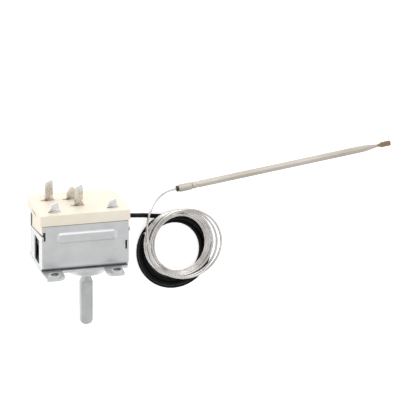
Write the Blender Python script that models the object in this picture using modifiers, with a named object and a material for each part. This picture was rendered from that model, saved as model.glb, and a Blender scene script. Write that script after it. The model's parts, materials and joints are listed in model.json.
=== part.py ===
"""An oven thermostat: a folded steel can with a ceramic switch base on one end and a D-shaft out of the other,
and a capillary, in a black sleeve at first, that is coiled on the table and ends in a long thin probe.

It lies on its back. X runs along the can's ribbed front face, Y from the shaft towards the terminals, and Z
up out of the front face. Heights along Y count from the outside of the can's floor. The empty that carries
every piece moves them all along Y, so that the origin is under the middle of the thermostat's body."""

import math

import bmesh
import bpy
from mathutils import Vector

MM = 0.001

# Clearances
SEAT = 0.2 * MM  # between pieces that are clamped or riveted together
PLAY = 0.3 * MM  # round a piece that turns or slides, and round a blade in its slot
ROUND_STEPS = 40
SMALL_STEPS = 20

# Steel can, folded from one sheet
SHEET = 0.8 * MM
CAN_WIDTH = 39.0 * MM
CAN_DEPTH = 24.0 * MM
CAN_HEIGHT = 21.0 * MM
CAN_BEND = 3.0 * MM
SIDE_SETBACK = 0.5 * MM
RIB_LENGTH = 28.0 * MM
RIB_WIDTH = 6.3 * MM
RIB_CREST = 3.4 * MM
RIB_RISE = 1.2 * MM
RIB_BELOW_TOP = 5.6 * MM
RIB_OFFSET_X = 0.5 * MM
SLOT_WIDTH = 0.8 * MM
SLOT_HEIGHT = 4.1 * MM
LEFT_SLOT_Y = 16.4 * MM
RIGHT_SLOT_Y = 9.9 * MM
TAB_GAP = 0.4 * MM
RELIEF_RADIUS = 0.9 * MM
WINDOW_DEPTH = 9.0 * MM
WINDOW_HEIGHT = 11.2 * MM
WINDOW_FROM_FRONT = 6.5 * MM
WINDOW_FROM_FLOOR = 1.2 * MM
LEFT_WALL_FRONT = 16.2 * MM
LEFT_WALL_BACK = 13.4 * MM
RIGHT_WALL_TOP = 18.2 * MM
LUG_X = 13.1 * MM
LUG_FROM_FRONT = 4.2 * MM
LUG_WIDTH = 5.0 * MM
LUG_HEIGHT = 3.8 * MM
LUG_TWIST = math.radians(38)
RIGHT_LUG_SCALE = 0.9

# Ceramic switch base
SLAB_HEIGHT = 5.1 * MM
SLAB_SIDE_OVERHANG = 0.8 * MM
SLAB_FRONT_OVERHANG = 0.3 * MM
SLAB_BACK_OVERHANG = 2.9 * MM
SLAB_EDGE = 0.35 * MM
SLAB_CORNER = 0.9 * MM
SLAB_BACK_CORNER = 4.6 * MM
SLAB_STEP = 0.9 * MM
SKIRT_HEIGHT = 12.0 * MM
SKIRT_GAP = 0.3 * MM
SIDE_PAD_FROM_ENDS = 3.0 * MM
GROOVE_LENGTH = 8.0 * MM
GROOVE_DEPTH = 0.8 * MM
GROOVE_HEIGHT = 1.0 * MM
GROOVE_BELOW_TOP = 2.4 * MM
WELL_FLOOR = 7.0 * MM
WELL_WALL_X = 3.5 * MM
WELL_WALL_Z = 1.6 * MM

# Mounting plate
PLATE = 1.2 * MM
LEFT_EAR = 8.5 * MM
RIGHT_EAR = 7.5 * MM
RIGHT_EAR_X = 8.5 * MM
EAR_REACH = 8.6 * MM
EAR_SHORTER = 0.4 * MM  # of the right one
EARS_FROM_FRONT = 0.6 * MM
LIP_WIDTH = 7.0 * MM
HOLE_SPACING = 28.0 * MM
LEFT_HOLE_X = -15.1 * MM
HOLE_FROM_CAN = 5.5 * MM
HOLE_RADIUS = 1.65 * MM
COLLAR_RADIUS = 2.8 * MM
COLLAR_HEIGHT = 0.9 * MM
BOSS_RADIUS = 10.0 * MM
BOSS_HEIGHT = 2.9 * MM
BOSS_SLOPE = 1.0 * MM

# Spindle, its bush and its stop
SHAFT_X = 2.4 * MM
SHAFT_FROM_FRONT = 9.9 * MM
SHAFT_RADIUS = 3.0 * MM
SHAFT_LENGTH = 22.4 * MM
SHAFT_ACROSS_FLAT = 4.6 * MM
SHAFT_CHAMFER = 0.7 * MM
SHAFT_TAPER = 2.5 * MM
TIP_ROUNDING = 2.2 * MM
NECK_RADIUS = 2.1 * MM
NECK_BELOW_BOSS = 2.9 * MM
BUSH_RADIUS = 4.0 * MM
BUSH_LIP = 0.7 * MM
BUSH_FLANGE_RADIUS = 5.4 * MM
BUSH_FLANGE = 1.0 * MM
STOP_RADIUS = 4.6 * MM
STOP_REACH = 7.6 * MM
STOP_SHEET = 0.8 * MM
NIB_RADIUS = 0.8 * MM
NIB_CIRCLE = 6.6 * MM
TURN_RANGE = math.radians(300)
STOP_MARGIN = math.radians(2)
CLIP_RADIUS = 3.9 * MM
CLIP_SHEET = 0.6 * MM

# Diaphragm capsule, pressure pin and snap switch
CAPSULE_RADIUS = 8.0 * MM
CAPSULE_RISE = 2.2 * MM
CAPSULE_WAVE = 0.25 * MM
CAPSULE_WAVES = 3
STUD_RADIUS = 1.9 * MM
STUD_HEIGHT = 1.2 * MM
PIN_RADIUS = 1.2 * MM
GUIDE_SHEET = 0.8 * MM
BLADE_ABOVE_GUIDE = 3.4 * MM
BLADE_SHEET = 0.4 * MM
BLADE_WIDTH = 6.0 * MM
BLADE_TONGUE = 1.6 * MM
PIVOT_FROM_WELL = 6.9 * MM
CONTACT_FROM_WELL = 4.1 * MM
BLADE_OVERRUN = 2.4 * MM
CONTACT_RADIUS = 1.6 * MM
CONTACT_HEIGHT = 0.7 * MM
STRAP_SHEET = 0.6 * MM
STRAP_WIDTH = 5.0 * MM
STRAP_BEND = 1.0 * MM

# Blade terminals, each twisted in its slot
TERMINAL_WIDTH = 6.3 * MM
TERMINAL_SHEET = 0.8 * MM
TERMINAL_TAIL_WIDTH = 4.2 * MM
TERMINAL_TAIL = 1.2 * MM
TERMINAL_TWIST = math.radians(48)
TWIST_HEIGHT = 1.7 * MM
TWIST_STEPS = 6
TERMINAL_SLOT_LEFT = 3.7 * MM
TERMINAL_HEIGHT = 9.0 * MM
TERMINAL_CORNER = 1.3 * MM
TERMINAL_HOLE_RADIUS = 0.8 * MM
REAR_TERMINAL_HEIGHT = 5.6 * MM
LEFT_TERMINAL_FROM_SIDE = 7.3 * MM
LEFT_TERMINAL_Z = 7.9 * MM
MIDDLE_TERMINAL_XZ = (-0.8 * MM, 16.9 * MM)
REAR_TERMINAL_XZ = (-2.4 * MM, 8.6 * MM)

# Tubular rivet in the right wall
RIVET_RADIUS = 1.1 * MM
RIVET_SHANK = 0.7 * MM
RIVET_FROM_FRONT = 2.4 * MM
RIVET_Y = 16.4 * MM

# Capillary and sleeve, with the coils that lie on the table
SLEEVE_RADIUS = 1.0 * MM
CAPILLARY_RADIUS = 0.5 * MM
EXIT_Y = 17.3 * MM
EXIT_Z = 11.0 * MM
CHASE_WIDTH = 3.0 * MM
SLEEVE_COIL_CENTRE = (45.8 * MM, -3.3 * MM)
SLEEVE_COIL_INNER = 11.7 * MM
SLEEVE_COIL_OUTER = 17.6 * MM
SLEEVE_COIL_HEIGHT = 4.0 * MM
SLEEVE_COIL_STRETCH = 1.085
CAPILLARY_COIL_CENTRE = (48.4 * MM, 0.1 * MM)
CAPILLARY_COIL_INNER = 11.6 * MM
CAPILLARY_COIL_OUTER = 17.7 * MM
CAPILLARY_COIL_HEIGHT = 5.4 * MM
CAPILLARY_COIL_STRETCH = 0.95
COIL_EDGE = 0.9 * MM
ROUTE_STEP = 2.4 * MM

# Probe
PROBE_START = (46.6 * MM, 24.2 * MM)
PROBE_TURN = math.radians(7.86)
PROBE_RADIUS = 1.5 * MM
COLLAR_TUBE_RADIUS = 1.7 * MM
COLLAR_TUBE_LENGTH = 6.0 * MM
SEAL_LENGTH = 1.0 * MM
SEAL_RADIUS = 1.35 * MM
BULB_LENGTH = 80.5 * MM
BULB_NECK = 5.0 * MM
TIP_LENGTH = 5.2 * MM
TIP_HALF_WIDTH = 1.55 * MM
TIP_HALF_SHEET = 0.55 * MM

# Places that follow from the sizes above
CAN_BACK = SLAB_BACK_OVERHANG
CAN_FRONT = CAN_BACK + CAN_DEPTH
SHAFT_Z = CAN_FRONT - SHAFT_FROM_FRONT
SLAB_HALF = CAN_WIDTH / 2 + SLAB_SIDE_OVERHANG
SLAB_FRONT = CAN_FRONT + SLAB_FRONT_OVERHANG
SLAB_LOW = CAN_HEIGHT + SEAT
SLAB_TOP = SLAB_LOW + SLAB_HEIGHT
SKIRT_LOW = SLAB_LOW - SKIRT_HEIGHT
WELL_TOP = SLAB_TOP - WELL_FLOOR
PLATE_TOP = -SEAT
PLATE_LOW = PLATE_TOP - PLATE
BOSS_LOW = PLATE_LOW - BOSS_HEIGHT
NECK_LOW = BOSS_LOW - NECK_BELOW_BOSS
SHAFT_TIP = NECK_LOW - SHAFT_LENGTH
BUSH_TOP = BOSS_LOW + PLATE + SEAT + BUSH_FLANGE
STOP_LOW = BUSH_TOP + PLAY
CLIP_LOW = STOP_LOW + STOP_SHEET + SEAT
CAPSULE_LOW = SHEET + 2 * SEAT
SPINDLE_TOP = CAPSULE_LOW - SEAT
CAPSULE_TOP = CAPSULE_LOW + CAPSULE_RISE + STUD_HEIGHT
GUIDE_TOP = SKIRT_LOW - SEAT
BLADE_LOW = GUIDE_TOP + BLADE_ABOVE_GUIDE
BLADE_TOP = BLADE_LOW + BLADE_SHEET
WELL_HALF = CAN_WIDTH / 2 - SHEET - SKIRT_GAP - WELL_WALL_X
PIVOT_X = PIVOT_FROM_WELL - WELL_HALF
CONTACT_X = WELL_HALF - CONTACT_FROM_WELL
LEFT_TERMINAL_XZ = (LEFT_TERMINAL_FROM_SIDE - CAN_WIDTH / 2, LEFT_TERMINAL_Z)
CENTRE_Y = (SLAB_TOP + TERMINAL_HEIGHT + SHAFT_TIP) / 2


def clear_scene():
    for obj in list(bpy.data.objects):
        bpy.data.objects.remove(obj)


def new_collection(name):
    collection = bpy.data.collections.new(name)
    bpy.context.scene.collection.children.link(collection)
    return collection


def finish(name, colour, roughness, metallic):
    material = bpy.data.materials.new(name)
    material.use_nodes = True
    shader = material.node_tree.nodes["Principled BSDF"]
    shader.inputs["Base Color"].default_value = (*colour, 1)
    shader.inputs["Roughness"].default_value = roughness
    shader.inputs["Metallic"].default_value = metallic
    return material


def add(name, data, place=(0, 0, 0), turn=(0, 0, 0)):
    """An object on the empty that carries the thermostat."""
    obj = bpy.data.objects.new(name, data)
    PARTS.objects.link(obj)
    obj.parent = CARRIER
    obj.location = place
    obj.rotation_euler = turn
    return obj


def mesh_from(name, build):
    """A mesh that the function build fills."""
    mesh = bpy.data.meshes.new(name)
    bm = bmesh.new()
    build(bm)
    bm.to_mesh(mesh)
    bm.free()
    return mesh


def block(name, low, high):
    """A box between two corners."""
    size = Vector(high) - Vector(low)

    def build(bm):
        bmesh.ops.create_cube(bm, size=1)
        bmesh.ops.scale(bm, vec=size, verts=bm.verts)

    return add(name, mesh_from(name, build), (Vector(low) + Vector(high)) / 2)


def rod(name, radius, low, high, steps=SMALL_STEPS):
    """A cylinder along Y between two ends on one line."""
    length = high[1] - low[1]

    def build(bm):
        bmesh.ops.create_cone(bm, cap_ends=True, segments=steps, radius1=radius, radius2=radius, depth=length)

    middle = (Vector(low) + Vector(high)) / 2
    return add(name, mesh_from(name, build), middle, (-math.pi / 2, 0, 0))


def turned(name, profile, place, turn, closed=False, steps=ROUND_STEPS):
    """A profile of (radius, height) points, from the top down its outer side, turned about the object's Z axis."""

    def build(bm):
        points = [bm.verts.new((radius, 0, height)) for radius, height in profile]
        for first, second in zip(points, points[1:]):
            bm.edges.new((first, second))
        if closed:
            bm.edges.new((points[-1], points[0]))

    obj = add(name, mesh_from(name, build), place, turn)
    screw = obj.modifiers.new("turn", "SCREW")
    screw.steps = screw.render_steps = steps
    screw.use_merge_vertices = True
    screw.merge_threshold = 1e-6
    return obj


ALONG_Y = (-math.pi / 2, 0, 0)
ALONG_X = (0, math.pi / 2, 0)
UPRIGHT = (0, 0, 0)


def arc_between(centre, radius, start, end, steps):
    """Points of an arc about centre, from one angle to another, both in degrees."""
    angles = [math.radians(start + (end - start) * i / steps) for i in range(steps + 1)]
    return [(centre[0] + radius * math.cos(a), centre[1] + radius * math.sin(a)) for a in angles]


def rounded(corners, steps=4):
    """An outline whose corners, each given as (x, y, radius), are arcs."""
    outline = []
    for i, (x, y, radius) in enumerate(corners):
        here = Vector((x, y))
        back = (Vector(corners[i - 1][:2]) - here).normalized()
        ahead = (Vector(corners[(i + 1) % len(corners)][:2]) - here).normalized()
        if not radius:
            outline.append((x, y))
            continue
        half = back.angle(ahead) / 2
        middle = here + (back + ahead).normalized() * radius / math.sin(half)
        start = here + back * radius / math.tan(half) - middle
        end = here + ahead * radius / math.tan(half) - middle
        sweep = math.pi - 2 * half
        for step in range(steps + 1):
            share = step / steps
            spoke = start * math.sin((1 - share) * sweep) + end * math.sin(share * sweep)
            outline.append(tuple(middle + spoke / math.sin(sweep)))
    return outline


FACING_Y = (math.pi / 2, 0, 0)
FACING_Z = (0, 0, 0)
FACING_X = (0, -math.pi / 2, 0)


def sheet_piece(name, outline, thickness, place, turn):
    """A flat outline cut from sheet: X and Z on a sheet that faces Y, Z and Y on one that faces X."""
    curve = bpy.data.curves.new(name, "CURVE")
    curve.dimensions = "2D"
    curve.fill_mode = "BOTH"
    curve.extrude = thickness / 2
    spline = curve.splines.new("POLY")
    spline.points.add(len(outline) - 1)
    for point, (x, y) in zip(spline.points, outline):
        point.co = (x, y, 0, 1)
    spline.use_cyclic_u = True
    return as_mesh(add(name, curve, place, turn))


def as_mesh(obj):
    """The curve object as a mesh object at the same place, with its caps welded and each made one face."""
    bpy.context.view_layer.update()
    evaluated = obj.evaluated_get(bpy.context.evaluated_depsgraph_get())
    mesh = bpy.data.meshes.new_from_object(evaluated)
    bm = bmesh.new()
    bm.from_mesh(mesh)
    bmesh.ops.remove_doubles(bm, verts=bm.verts, dist=1e-6)
    bmesh.ops.dissolve_limit(bm, angle_limit=math.radians(0.1), verts=bm.verts, edges=bm.edges)
    bm.to_mesh(mesh)
    bm.free()
    name, place, turn = obj.name, obj.location.copy(), obj.rotation_euler.copy()
    bpy.data.objects.remove(obj)
    return add(name, mesh, place, turn)


def folded(name, line, low_x, high_x, thickness, place=(0, 0, 0), turn=(0, 0, 0)):
    """A strip of sheet folded along a line of (y, z) points, as wide as from low_x to high_x."""

    def build(bm):
        points = [bm.verts.new((low_x, y, z)) for y, z in line]
        edges = [bm.edges.new(pair) for pair in zip(points, points[1:])]
        made = bmesh.ops.extrude_edge_only(bm, edges=edges)["geom"]
        verts = [item for item in made if isinstance(item, bmesh.types.BMVert)]
        bmesh.ops.translate(bm, vec=(high_x - low_x, 0, 0), verts=verts)
        bmesh.ops.recalc_face_normals(bm, faces=bm.faces)

    obj = add(name, mesh_from(name, build), place, turn)
    solidify = obj.modifiers.new("sheet", "SOLIDIFY")
    solidify.thickness = thickness
    solidify.offset = 0
    solidify.use_even_offset = True
    return obj


def put_away(tool):
    PARTS.objects.unlink(tool)
    CUTTERS.objects.link(tool)
    tool.hide_render = True
    tool.display_type = "WIRE"


def combine(obj, tools, operation, solver):
    for tool in tools:
        put_away(tool)
        boolean = obj.modifiers.new(operation.lower(), "BOOLEAN")
        boolean.operation = operation
        boolean.solver = solver
        boolean.object = tool


def cut(obj, *tools, solver="EXACT"):
    combine(obj, tools, "DIFFERENCE", solver)


def join(obj, *tools, solver="EXACT"):
    combine(obj, tools, "UNION", solver)


def bevel_edges(obj, width, segments=2):
    bevel = obj.modifiers.new("edges", "BEVEL")
    bevel.width = width
    bevel.segments = segments
    bevel.limit_method = "ANGLE"
    bevel.angle_limit = math.radians(50)


def smooth(obj, material):
    """Gives a finished piece its material, and shades its round sides smooth."""
    obj.data.materials.append(material)
    if obj.type == "MESH":
        obj.data.shade_smooth()
        obj.data.set_sharp_from_angle(angle=math.radians(35))
    return obj


def loft(bm, rings):
    """A closed skin over rings of points that hold equally many."""
    rows = [[bm.verts.new(point) for point in ring] for ring in rings]
    for first, second in zip(rows, rows[1:]):
        for i in range(len(first)):
            bm.faces.new((first[i - 1], first[i], second[i], second[i - 1]))
    bm.faces.new(rows[0])
    bm.faces.new(rows[-1])
    bmesh.ops.recalc_face_normals(bm, faces=bm.faces)


def rib(name, grow):
    """The pressed rib's outer form, or with grow below 0 the hollow behind it: a bar whose sides slope in."""
    rise = RIB_RISE + grow
    slope = (RIB_WIDTH - RIB_CREST) / 2
    root = -SHEET * 0.75
    levels = [
        (root, 0),
        (0, 0),
        (rise - 0.25 * RIB_RISE, slope * 0.8),
        (rise - 0.06 * RIB_RISE, slope * 0.95),
        (rise, slope * 1.25),
    ]
    if grow < 0:
        levels[0] = (-2 * SHEET, 0)

    def build(bm):
        rings = []
        for z, inset in levels:
            half_length, half_width = RIB_LENGTH / 2 + grow - inset, RIB_WIDTH / 2 + grow - inset
            radius = half_width * 0.55
            outline = rounded([
                (-half_length, -half_width, radius),
                (half_length, -half_width, radius),
                (half_length, half_width, radius),
                (-half_length, half_width, radius),
            ])
            rings.append([(x, y, z) for x, y in outline])
        loft(bm, rings)

    place = (RIB_OFFSET_X, CAN_HEIGHT - RIB_BELOW_TOP, CAN_FRONT)
    return add(name, mesh_from(name, build), place)


def lug(name, x, scale):
    """A tongue that rises through the ceramic and is twisted there, which locks the base on the can."""
    width = LUG_WIDTH * scale
    bottom = CAN_HEIGHT - SHEET
    top = SLAB_TOP + SEAT + LUG_HEIGHT * scale
    rows = 10

    def build(bm):
        bmesh.ops.create_cube(bm, size=1)
        bmesh.ops.scale(bm, vec=(width, top - bottom, SHEET), verts=bm.verts)
        bmesh.ops.translate(bm, vec=(0, (top + bottom) / 2, 0), verts=bm.verts)
        long_edges = [edge for edge in bm.edges if abs(edge.verts[0].co.y - edge.verts[1].co.y) > SHEET]
        bmesh.ops.subdivide_edges(bm, edges=long_edges, cuts=rows - 1, use_grid_fill=True)
        for vert in bm.verts:
            share = max(0, (vert.co.y - SLAB_TOP) / (top - SLAB_TOP))
            angle = LUG_TWIST * min(1, 1.6 * share)
            x_old, z_old = vert.co.x * (1 - 0.12 * share), vert.co.z
            vert.co.x = x_old * math.cos(angle) + z_old * math.sin(angle)
            vert.co.z = z_old * math.cos(angle) - x_old * math.sin(angle)

    tongue = add(name, mesh_from(name, build), (x, 0, CAN_FRONT - LUG_FROM_FRONT))
    shelf_back = CAN_FRONT - LUG_FROM_FRONT - SHEET / 2
    shelf = block(
        name + "_shelf",
        (x - width / 2, CAN_HEIGHT - SHEET, shelf_back),
        (x + width / 2, CAN_HEIGHT, CAN_FRONT - SHEET / 2),
    )
    return shelf, tongue


def side_wall(name, x, outline):
    return sheet_piece(name, outline, SHEET, (x, 0, 0), FACING_X)


def wall_outline(front_top, back_top, tab_middle):
    """A side wall's outline of (z, y): its bottom corners follow the can's bends, and a tab hooks the front wall."""
    front = CAN_FRONT - SIDE_SETBACK
    tab_low = tab_middle - SLOT_HEIGHT / 2 + TAB_GAP
    tab_high = tab_middle + SLOT_HEIGHT / 2 - TAB_GAP
    return rounded([
        (CAN_BACK + SHEET / 2, 0, CAN_BEND),
        (front, 0, CAN_BEND),
        (front, tab_low, 0),
        (CAN_FRONT, tab_low, 0),
        (CAN_FRONT, min(tab_high, front_top), 0),
        (front, min(tab_high, front_top), 0),
        (front, front_top + 0.1 * MM, 0),
        (CAN_BACK + SHEET / 2, back_top, 0),
    ])


def steel_housing():
    mid = SHEET / 2
    radius = CAN_BEND - mid
    back, front = CAN_BACK + mid, CAN_FRONT - mid
    line = [(CAN_HEIGHT, back)]
    line += [(y, z) for z, y in arc_between((back + radius, mid + radius), radius, 180, 270, 6)]
    line += [(y, z) for z, y in arc_between((front - radius, mid + radius), radius, 270, 360, 6)]
    line += [(CAN_HEIGHT, front)]
    half = CAN_WIDTH / 2
    can = folded("steel_housing", line, -half, half, SHEET)

    slot_z = (CAN_FRONT - 2 * SHEET, CAN_FRONT + SHEET)
    edge_slot = half - SHEET - SLOT_WIDTH
    slots = [
        block(
            f"slot_{side}",
            (min(end, inner), middle - SLOT_HEIGHT / 2, slot_z[0]),
            (max(end, inner), middle + SLOT_HEIGHT / 2, slot_z[1]),
        )
        for side, middle, end, inner in (
            ("left", LEFT_SLOT_Y, -half - SHEET, -edge_slot),
            ("right", RIGHT_SLOT_Y, half + SHEET, edge_slot),
        )
    ]
    cut(can, *slots)
    join(can, rib("rib_form", 0))
    cut(can, rib("rib_hollow", -SHEET))

    left = side_wall("left_wall", -half + mid, wall_outline(LEFT_WALL_FRONT, LEFT_WALL_BACK, LEFT_SLOT_Y))
    right = side_wall("right_wall", half - mid, wall_outline(RIGHT_WALL_TOP, RIGHT_WALL_TOP, RIGHT_SLOT_Y))
    join(can, left, right)
    window_front = CAN_FRONT - WINDOW_FROM_FRONT
    window = block(
        "windows",
        (-half - SHEET, WINDOW_FROM_FLOOR, window_front - WINDOW_DEPTH),
        (half + SHEET, WINDOW_FROM_FLOOR + WINDOW_HEIGHT, window_front),
    )
    reliefs = [
        rod(
            f"relief_{i}",
            RELIEF_RADIUS,
            (x, -SHEET, z),
            (x, CAN_BEND * 0.55, z),
            12,
        )
        for i, (x, z) in enumerate((x, z) for x in (-half, half) for z in (CAN_FRONT, CAN_BACK))
    ]
    shaft_hole = rod(
        "floor_hole", CLIP_RADIUS + PLAY, (SHAFT_X, -SHEET, SHAFT_Z), (SHAFT_X, 2 * SHEET, SHAFT_Z), ROUND_STEPS
    )
    exit_notch = block(
        "exit_notch",
        (half - 2 * SHEET, EXIT_Y - SLEEVE_RADIUS - PLAY, EXIT_Z - SLEEVE_RADIUS - PLAY),
        (half + SHEET, RIGHT_WALL_TOP + SHEET, EXIT_Z + SLEEVE_RADIUS + PLAY),
    )
    rivet_z = CAN_FRONT - RIVET_FROM_FRONT
    rivet_hole = turned(
        "rivet_hole",
        [(0, 2 * SHEET), (RIVET_SHANK + PLAY, 2 * SHEET), (RIVET_SHANK + PLAY, -2 * SHEET), (0, -2 * SHEET)],
        (half, RIVET_Y, rivet_z),
        ALONG_X,
        steps=SMALL_STEPS,
    )
    cut(can, window, *reliefs, shaft_hole, exit_notch, rivet_hole)
    for name, x, scale in (("left_lug", -LUG_X, 1), ("right_lug", LUG_X, RIGHT_LUG_SCALE)):
        join(can, *lug(name, x, scale))
    return smooth(can, ZINC)


def slab_outline():
    """The slab from above, as (x, z): the corner behind the right side is cut off, and the side before it steps in."""
    half, step = SLAB_HALF, SLAB_STEP
    middle = SLAB_FRONT * 0.55
    return rounded([
        (-half, 0, SLAB_CORNER),
        (half - step - SLAB_BACK_CORNER, 0, SLAB_CORNER * 2),
        (half - step, SLAB_BACK_CORNER, SLAB_CORNER * 2),
        (half - step, middle, 0.4 * MM),
        (half, middle + 1.2 * MM, 0.4 * MM),
        (half, SLAB_FRONT, SLAB_CORNER),
        (-half, SLAB_FRONT, SLAB_CORNER),
    ])


def terminal_slot(name, xz):
    """The way of a terminal's tail through the base. It runs on to the left, so that the twisted blade goes in."""
    x, z = xz
    tail, width = TERMINAL_TAIL_WIDTH / 2 + PLAY, TERMINAL_SHEET / 2 + PLAY
    return block(
        name, (x - TERMINAL_SLOT_LEFT, WELL_TOP - SHEET, z - width), (x + tail, SLAB_TOP + SHEET, z + width)
    )


def ceramic_base():
    middle_y = SLAB_LOW + SLAB_HEIGHT / 2
    slab = sheet_piece("ceramic_base", slab_outline(), SLAB_HEIGHT, (0, middle_y, 0), FACING_Y)
    bevel_edges(slab, SLAB_EDGE)
    inner = CAN_WIDTH / 2 - SHEET - SKIRT_GAP
    back, front = CAN_BACK + SHEET + SKIRT_GAP, CAN_FRONT - SHEET - SKIRT_GAP
    overlap = SLAB_HEIGHT / 2
    skirt = block("skirt", (-inner, SKIRT_LOW, back), (inner, SLAB_LOW + overlap, front))
    bevel_edges(skirt, SLAB_EDGE, 1)
    pad = CAN_WIDTH / 2
    pad_back, pad_front = CAN_BACK + SIDE_PAD_FROM_ENDS, front
    left_pad = sheet_piece(
        "left_pad",
        [
            (pad_front, SLAB_LOW + overlap),
            (pad_back, SLAB_LOW + overlap),
            (pad_back, LEFT_WALL_BACK + 3 * SEAT),
            (pad_front, LEFT_WALL_FRONT + 3 * SEAT),
        ],
        2 * SHEET,
        (-pad + SHEET + SEAT, 0, 0),
        FACING_X,
    )
    right_pad = block(
        "right_pad",
        (pad - 2 * SHEET, RIGHT_WALL_TOP + 2 * SEAT, pad_back),
        (pad - SEAT, SLAB_LOW + overlap, pad_front),
    )
    join(slab, skirt, left_pad, right_pad)

    well = block(
        "well",
        (-WELL_HALF, SKIRT_LOW - SHEET, back + WELL_WALL_Z),
        (WELL_HALF, WELL_TOP, front - WELL_WALL_Z),
    )
    groove_middle = SLAB_FRONT * 0.54
    groove = block(
        "groove",
        (-SLAB_HALF - SHEET, SLAB_TOP - GROOVE_BELOW_TOP - GROOVE_HEIGHT, groove_middle - GROOVE_LENGTH / 2),
        (-SLAB_HALF + GROOVE_DEPTH, SLAB_TOP - GROOVE_BELOW_TOP, groove_middle + GROOVE_LENGTH / 2),
    )
    chase = block(
        "chase",
        (inner - 2.1 * MM, SKIRT_LOW - SHEET, EXIT_Z - CHASE_WIDTH / 2),
        (CAN_WIDTH / 2 + SHEET, EXIT_Y + SLEEVE_RADIUS + PLAY, EXIT_Z + CHASE_WIDTH / 2),
    )
    cut(slab, well, groove, chase)
    for name, xz in (
        ("left_slot", LEFT_TERMINAL_XZ),
        ("middle_slot", MIDDLE_TERMINAL_XZ),
        ("rear_slot", REAR_TERMINAL_XZ),
    ):
        cut(slab, terminal_slot(name, xz))
    lug_z = CAN_FRONT - LUG_FROM_FRONT
    for name, x, scale in (("left_lug_slot", -LUG_X, 1), ("right_lug_slot", LUG_X, RIGHT_LUG_SCALE)):
        reach = LUG_WIDTH * scale / 2 + PLAY
        width = SHEET / 2 + PLAY
        through = block(name, (x - reach, WELL_TOP - SHEET, lug_z - width), (x + reach, SLAB_TOP + SHEET, lug_z + width))
        shelf = block(
            name + "_shelf",
            (x - reach - SEAT, CAN_HEIGHT - SHEET - PLAY, lug_z - width - SEAT),
            (x + reach + SEAT, CAN_HEIGHT + SEAT, SLAB_FRONT - SHEET / 2),
        )
        cut(slab, through, shelf)
    rivet_room = turned(
        "rivet_room",
        [(0, SHEET), (RIVET_RADIUS + PLAY, SHEET), (RIVET_RADIUS + PLAY, -3 * SHEET), (0, -3 * SHEET)],
        (CAN_WIDTH / 2 - SHEET, RIVET_Y, CAN_FRONT - RIVET_FROM_FRONT),
        ALONG_X,
        steps=SMALL_STEPS,
    )
    cut(slab, rivet_room)
    return smooth(slab, CERAMIC)


def plate_outline():
    """The plate as (x, z): two ears in front, a notch between them, and two short lips behind."""
    half = CAN_WIDTH / 2
    reach = CAN_FRONT + EAR_REACH
    left_ear = -half + 0.5 * MM + LEFT_EAR
    right_end = RIGHT_EAR_X + RIGHT_EAR
    body_front = CAN_FRONT - EARS_FROM_FRONT
    return rounded([
        (-half, 0, 1.0 * MM),
        (-half + LIP_WIDTH, 0, 1.5 * MM),
        (-half + LIP_WIDTH, CAN_BACK, 1.0 * MM),
        (half - LIP_WIDTH, CAN_BACK, 1.0 * MM),
        (half - LIP_WIDTH, 0, 1.5 * MM),
        (half, 0, 1.0 * MM),
        (half, body_front, 1.0 * MM),
        (right_end, body_front, 1.0 * MM),
        (right_end, reach - EAR_SHORTER, 0.8 * MM),
        (RIGHT_EAR_X, reach - EAR_SHORTER, 2.4 * MM),
        (RIGHT_EAR_X, body_front, 1.2 * MM),
        (left_ear, body_front, 1.2 * MM),
        (left_ear, reach, 3.2 * MM),
        (-half + 0.5 * MM, reach, 0.5 * MM),
        (-half, body_front, 0),
    ])


def mounting_plate():
    middle_y = PLATE_TOP - PLATE / 2
    plate = sheet_piece("mounting_plate", plate_outline(), PLATE, (0, middle_y, 0), FACING_Y)
    shoulder = BOSS_RADIUS - BOSS_SLOPE
    boss = turned(
        "boss_form",
        [
            (0, PLATE_LOW + PLATE / 2),
            (BOSS_RADIUS, PLATE_LOW + PLATE / 2),
            (BOSS_RADIUS, PLATE_LOW),
            (shoulder, BOSS_LOW + BOSS_SLOPE * 0.6),
            (shoulder - BOSS_SLOPE * 0.7, BOSS_LOW),
            (0, BOSS_LOW),
        ],
        (SHAFT_X, 0, SHAFT_Z),
        ALONG_Y,
    )
    inner = shoulder - PLATE
    hollow = turned(
        "boss_hollow",
        [
            (0, PLATE_TOP + PLATE),
            (inner + 0.4 * MM, PLATE_TOP + PLATE),
            (inner + 0.4 * MM, PLATE_LOW),
            (inner, BOSS_LOW + PLATE),
            (0, BOSS_LOW + PLATE),
        ],
        (SHAFT_X, 0, SHAFT_Z),
        ALONG_Y,
    )
    bush_hole = rod(
        "bush_hole",
        BUSH_RADIUS + SEAT,
        (SHAFT_X, BOSS_LOW - PLATE, SHAFT_Z),
        (SHAFT_X, BOSS_LOW + 2 * PLATE, SHAFT_Z),
        ROUND_STEPS,
    )
    join(plate, boss, solver="MANIFOLD")
    hole_z = CAN_FRONT + HOLE_FROM_CAN
    holes = []
    for name, x in (("left_hole", LEFT_HOLE_X), ("right_hole", LEFT_HOLE_X + HOLE_SPACING)):
        high = PLATE_TOP + COLLAR_HEIGHT
        collar = rod(name + "_collar", COLLAR_RADIUS, (x, PLATE_LOW + PLATE / 2, hole_z), (x, high, hole_z))
        join(plate, collar, solver="MANIFOLD")
        holes.append(rod(name, HOLE_RADIUS, (x, PLATE_LOW - PLATE, hole_z), (x, high + PLATE, hole_z)))
    cut(plate, hollow, bush_hole, *holes, solver="MANIFOLD")
    nib_angle = nib_direction()
    nib_x = SHAFT_X + NIB_CIRCLE * math.cos(nib_angle)
    nib_z = SHAFT_Z + NIB_CIRCLE * math.sin(nib_angle)
    floor = BOSS_LOW + PLATE
    nib = rod("stop_nib", NIB_RADIUS, (nib_x, floor - PLATE / 2, nib_z), (nib_x, STOP_LOW + STOP_SHEET, nib_z), 12)
    join(plate, nib, solver="MANIFOLD")
    return smooth(plate, ZINC)


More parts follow.
